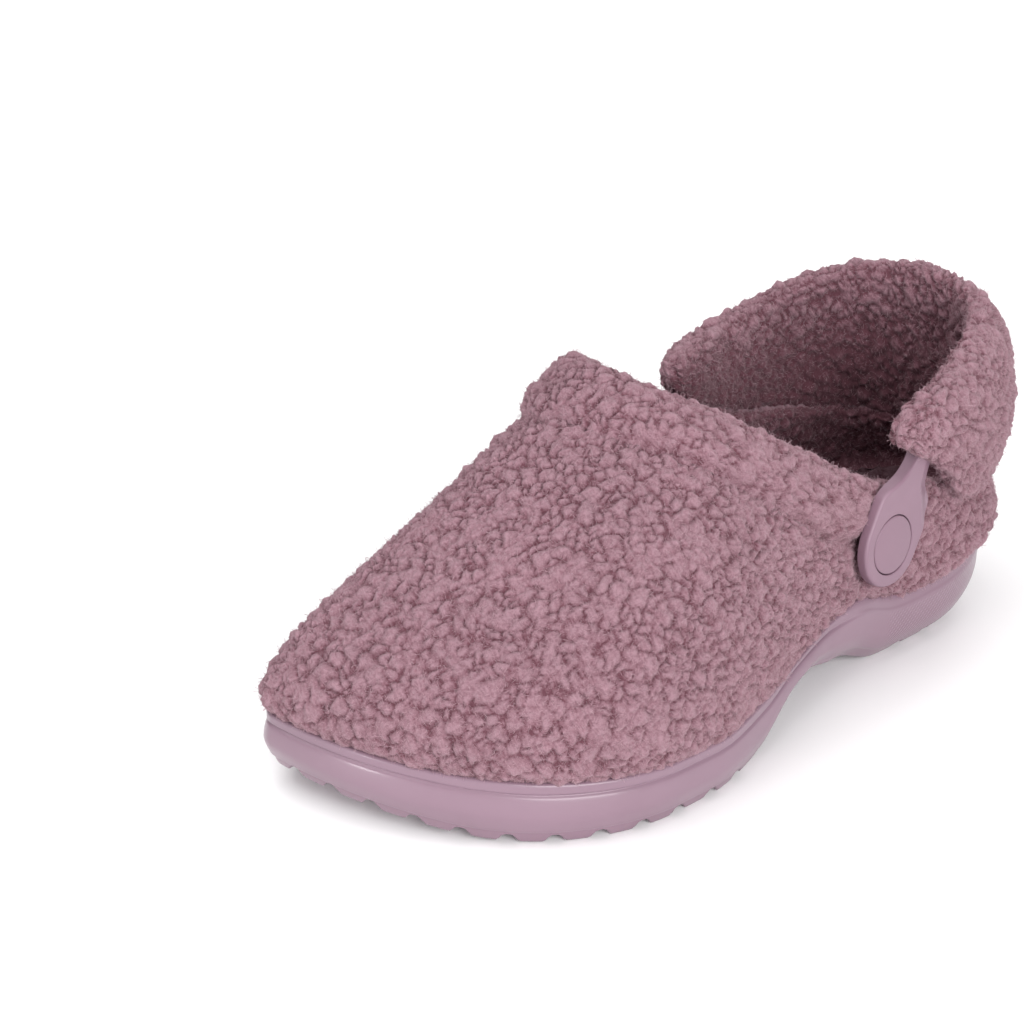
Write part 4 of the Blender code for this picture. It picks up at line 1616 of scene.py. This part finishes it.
@dataclass
class Fuzz:
    """Loose fibres that stand off the curls."""

    density: float = 860000.0
    length: float = 1.5
    width: float = 0.09
    vary: tuple[float, float] = (0.45, 1.25)
    seed: int = 3

    def tree(self) -> NodeTree:
        """Build the node tree that strews fibres over a surface.

        Returns:
            The node tree.
        """
        tree = bpy.data.node_groups.new("fleece_fuzz", "GeometryNodeTree")
        sockets = (("Geometry", "Geometry"), ("Density", "Float"), ("Length", "Float"), ("Width", "Float"),
                   ("Seed", "Int"), ("Finish", "Material"))
        for name, kind in sockets:
            tree.interface.new_socket(name, in_out="INPUT", socket_type="NodeSocket" + kind)
        tree.interface.new_socket("Geometry", in_out="OUTPUT", socket_type="NodeSocketGeometry")
        given = add_node(tree, "NodeGroupInput")
        result = add_node(tree, "NodeGroupOutput")
        strew = add_node(tree, "GeometryNodeDistributePointsOnFaces")
        bend = add_node(tree, "GeometryNodeCurvePrimitiveLine", Start=(0.0, 0.0, -0.05),
                        End=(0.65, 0.15, 0.6))
        thin = add_node(tree, "GeometryNodeCurvePrimitiveLine", Start=(-0.5, 0.0, 0.0), End=(0.5, 0.0, 0.0))
        slim = add_node(tree, "ShaderNodeMath", operation="DIVIDE")
        ratio = add_node(tree, "ShaderNodeCombineXYZ")
        profile = add_node(tree, "GeometryNodeTransform")
        sweep = add_node(tree, "GeometryNodeCurveToMesh")
        spin = add_node(tree, "FunctionNodeRandomValue", data_type="FLOAT_VECTOR", Min=(-0.9, -0.9, 0.0),
                        Max=(0.9, 0.9, 2 * math.pi))
        turn = add_node(tree, "FunctionNodeRotateRotation", rotation_space="LOCAL")
        vary = add_node(tree, "FunctionNodeRandomValue", data_type="FLOAT")
        vary.inputs[2].default_value, vary.inputs[3].default_value = self.vary
        grow = add_node(tree, "ShaderNodeMath", operation="MULTIPLY")
        plant = add_node(tree, "GeometryNodeInstanceOnPoints")
        real = add_node(tree, "GeometryNodeRealizeInstances")
        dress = add_node(tree, "GeometryNodeSetMaterial")
        links = (
            (given, "Geometry", strew, "Mesh"),
            (given, "Density", strew, "Density"),
            (given, "Seed", strew, "Seed"),
            (given, "Width", slim, 0),
            (given, "Length", slim, 1),
            (slim, 0, ratio, "X"),
            (slim, 0, ratio, "Y"),
            (slim, 0, ratio, "Z"),
            (thin, "Curve", profile, "Geometry"),
            (ratio, "Vector", profile, "Scale"),
            (bend, "Curve", sweep, "Curve"),
            (profile, "Geometry", sweep, "Profile Curve"),
            (given, "Seed", spin, "Seed"),
            (strew, "Rotation", turn, "Rotation"),
            (spin, "Value", turn, "Rotate By"),
            (vary, 1, grow, 0),
            (given, "Length", grow, 1),
            (strew, "Points", plant, "Points"),
            (sweep, "Mesh", plant, "Instance"),
            (turn, "Rotation", plant, "Rotation"),
            (grow, 0, plant, "Scale"),
            (plant, "Instances", real, "Geometry"),
            (real, "Geometry", dress, "Geometry"),
            (given, "Finish", dress, "Material"),
            (dress, "Geometry", result, "Geometry"),
        )
        for source, out, to, into in links:
            tree.links.new(source.outputs[out], to.inputs[into])
        return tree

    def build(self, maker: Maker, name: str, bases: list[Object], slot: str, fleece: Material) -> Object:
        """Strew fibres over pieces and keep them as one mesh.

        Args:
            maker: Puts the piece into the scene.
            name: The piece's name.
            bases: The pieces the fibres stand on.
            slot: Not used.
            fleece: Their finish.

        Returns:
            The piece.
        """
        tree = bpy.data.node_groups.get("fleece_fuzz") or self.tree()
        sizes = {"Density": self.density, "Length": self.length * MM, "Width": self.width * MM,
                 "Seed": self.seed, "Finish": fleece}
        points = []
        faces = []
        start = 0
        for base in bases:
            carrier = bpy.data.objects.new(name + "_carrier", base.data)
            bpy.context.scene.collection.objects.link(carrier)
            step = carrier.modifiers.new("fuzz", "NODES")
            step.node_group = tree
            for item in tree.interface.items_tree:
                if item.in_out == "INPUT" and item.name in sizes:
                    step[item.identifier] = sizes[item.name]
            graph = bpy.context.evaluated_depsgraph_get()
            grown = bpy.data.meshes.new_from_object(carrier.evaluated_get(graph))
            co = np.zeros(len(grown.vertices) * 3, np.float32)
            grown.vertices.foreach_get("co", co)
            corners = np.zeros(len(grown.loops), np.int32)
            grown.loops.foreach_get("vertex_index", corners)
            points.append(co.reshape(-1, 3))
            faces.append(corners.reshape(-1, 4) + start)
            start += len(points[-1])
            bpy.data.objects.remove(carrier)
            bpy.data.meshes.remove(grown)
        mesh = maker.mesh(name, np.vstack(points), np.vstack(faces), fleece)
        # Every fibre reads the top end of its finish's colours: painted light.
        layer = mesh.attributes.new("tone", "FLOAT", "POINT")
        layer.data.foreach_set("value", np.full(len(mesh.vertices), 1.0, np.float32))
        return maker.ride(name, mesh, ())


@dataclass
class Studio:
    """Floor, soft lights and the camera."""

    azimuth: float = 44.0
    elevation: float = 27.0
    distance: float = 900.0
    focal_pixels: float = 2990.0
    look: Triple = (0.0, 0.0, 45.0)
    look_pixel: tuple[float, float] = (655.0, 553.0)
    frame_pixels: float = 1024.0
    sensor: float = 36.0

    def build(self, maker: Maker) -> None:
        """Set the stage.

        Args:
            maker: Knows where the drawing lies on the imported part.
        """
        self.floor()
        self.lights()
        self.camera(maker)

    def floor(self) -> None:
        """A plain pale floor."""
        size = 6.0
        mesh = bpy.data.meshes.new("floor")
        corners = [(-size, -size, 0), (size, -size, 0), (size, size, 0), (-size, size, 0)]
        mesh.from_pydata(corners, [], [(0, 1, 2, 3)])
        mesh.materials.append(FloorFinish("studio_floor").make())
        floor = bpy.data.objects.new("floor", mesh)
        bpy.context.scene.collection.objects.link(floor)

    def lights(self) -> None:
        """Even sky light, a wide overhead box, soft fills and a small low box for the toe's highlight."""
        world = bpy.data.worlds.new("studio")
        world.use_nodes = True
        sky = world.node_tree.nodes["Background"]
        sky.inputs["Color"].default_value = (1.0, 0.99, 0.985, 1.0)
        sky.inputs["Strength"].default_value = 0.52
        bpy.context.scene.world = world
        self.lamp("overhead", (-0.15, -0.35, 1.35), (0.0, 0.0, 0.0), 1.3, 11.5)
        self.lamp("toe_fill", (-0.55, -0.95, 0.70), (0.0, -0.05, 0.02), 0.6, 1.6)
        self.lamp("toe_gleam", (0.0, -1.05, 0.14), (0.0, -0.1, 0.02), 0.17, 2.0)
        self.lamp("side_fill", (1.25, -0.45, 0.6), (0.0, 0.0, 0.04), 0.9, 20.0)
        self.lamp("back_fill", (-0.75, 1.15, 0.55), (0.0, 0.0, 0.04), 0.9, 9.0)

    def lamp(self, name: str, place: Triple, aim: Triple, size: float, power: float) -> None:
        """One square soft box.

        Args:
            name: The lamp's name.
            place: Where it stands.
            aim: What it points at.
            size: Its side.
            power: Its power.
        """
        data = bpy.data.lights.new(name, "AREA")
        data.size = size
        data.energy = power
        lamp = bpy.data.objects.new(name, data)
        lamp.location = place
        lamp.visible_camera = False
        lamp.rotation_euler = (Vector(aim) - Vector(place)).to_track_quat("-Z", "Y").to_euler()
        bpy.context.scene.collection.objects.link(lamp)

    def camera(self, maker: Maker) -> None:
        """Camera at the photograph's viewing angle.

        Args:
            maker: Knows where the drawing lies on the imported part.
        """
        a = math.radians(self.azimuth)
        e = math.radians(self.elevation)
        back = np.array([math.sin(a) * math.cos(e), -math.cos(a) * math.cos(e), math.sin(e)])
        right = np.array([math.cos(a), math.sin(a), 0.0])
        up = np.cross(back, right)
        look = np.array(self.look)
        scale = self.distance / self.focal_pixels
        half = self.frame_pixels / 2
        aim = look - right * (self.look_pixel[0] - half) * scale + up * (self.look_pixel[1] - half) * scale
        eye = Vector(maker.place(look + back * self.distance)[0])
        target = Vector(maker.place(aim)[0])
        data = bpy.data.cameras.new("camera")
        data.sensor_width = self.sensor
        data.lens = self.sensor * self.focal_pixels / self.frame_pixels
        data.clip_start = 0.01
        data.clip_end = 50.0
        camera = bpy.data.objects.new("camera", data)
        camera.location = eye
        camera.rotation_euler = (target - eye).to_track_quat("-Z", "Y").to_euler()
        bpy.context.scene.collection.objects.link(camera)
        scene = bpy.context.scene
        scene.camera = camera
        scene.view_settings.view_transform = "Standard"
        scene.view_settings.look = "None"


def main() -> None:
    """Build every piece in order and set the stage."""
    logging.basicConfig(level=logging.INFO, format="%(name)s %(message)s")
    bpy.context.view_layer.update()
    last = Last()
    maker = Maker(last.offset())
    fleece = FleeceFinish("curly_fleece").make()
    # The lining and footbed take a darker copy of the fleece: painted shade for the dim inside of the
    # slipper.
    lining = FleeceFinish(
        "shaded_lining_fleece", (0.048, 0.016, 0.022), (0.080, 0.037, 0.047), (0.118, 0.063, 0.077)).make()
    # The loose fibres take a lighter copy of the fleece: painted light where stray fibres catch the light at
    # the outline.
    lit_fibre_finish = FleeceFinish(
        "lit_loose_fibre", (0.24, 0.127, 0.157), (0.32, 0.188, 0.228), (0.42, 0.278, 0.315)).make()
    foam = FoamFinish("satin_foam").make()
    tab = MouldedFinish("tab_moulding").make()
    button = MouldedFinish("button_moulding", (0.221, 0.132, 0.175)).make()

    Sole(last).build(maker, foam)
    pile = Pile()
    Footbed(last).build(maker, pile, lining)
    upper = Upper(last).build(maker, pile, fleece, lining)
    strap = HeelStrap().build(maker, Pile(seed=23), fleece)
    for side in Side:
        Fastening(side).build(maker, tab, button)
    fuzz = Fuzz()
    fuzz.build(maker, "upper_fuzz", upper[:4], "upper_fleece", lit_fibre_finish)
    fuzz.build(maker, "strap_fuzz", [strap], "strap_fleece", lit_fibre_finish)
    Studio().build(maker)


if __name__ == "__main__":
    main()
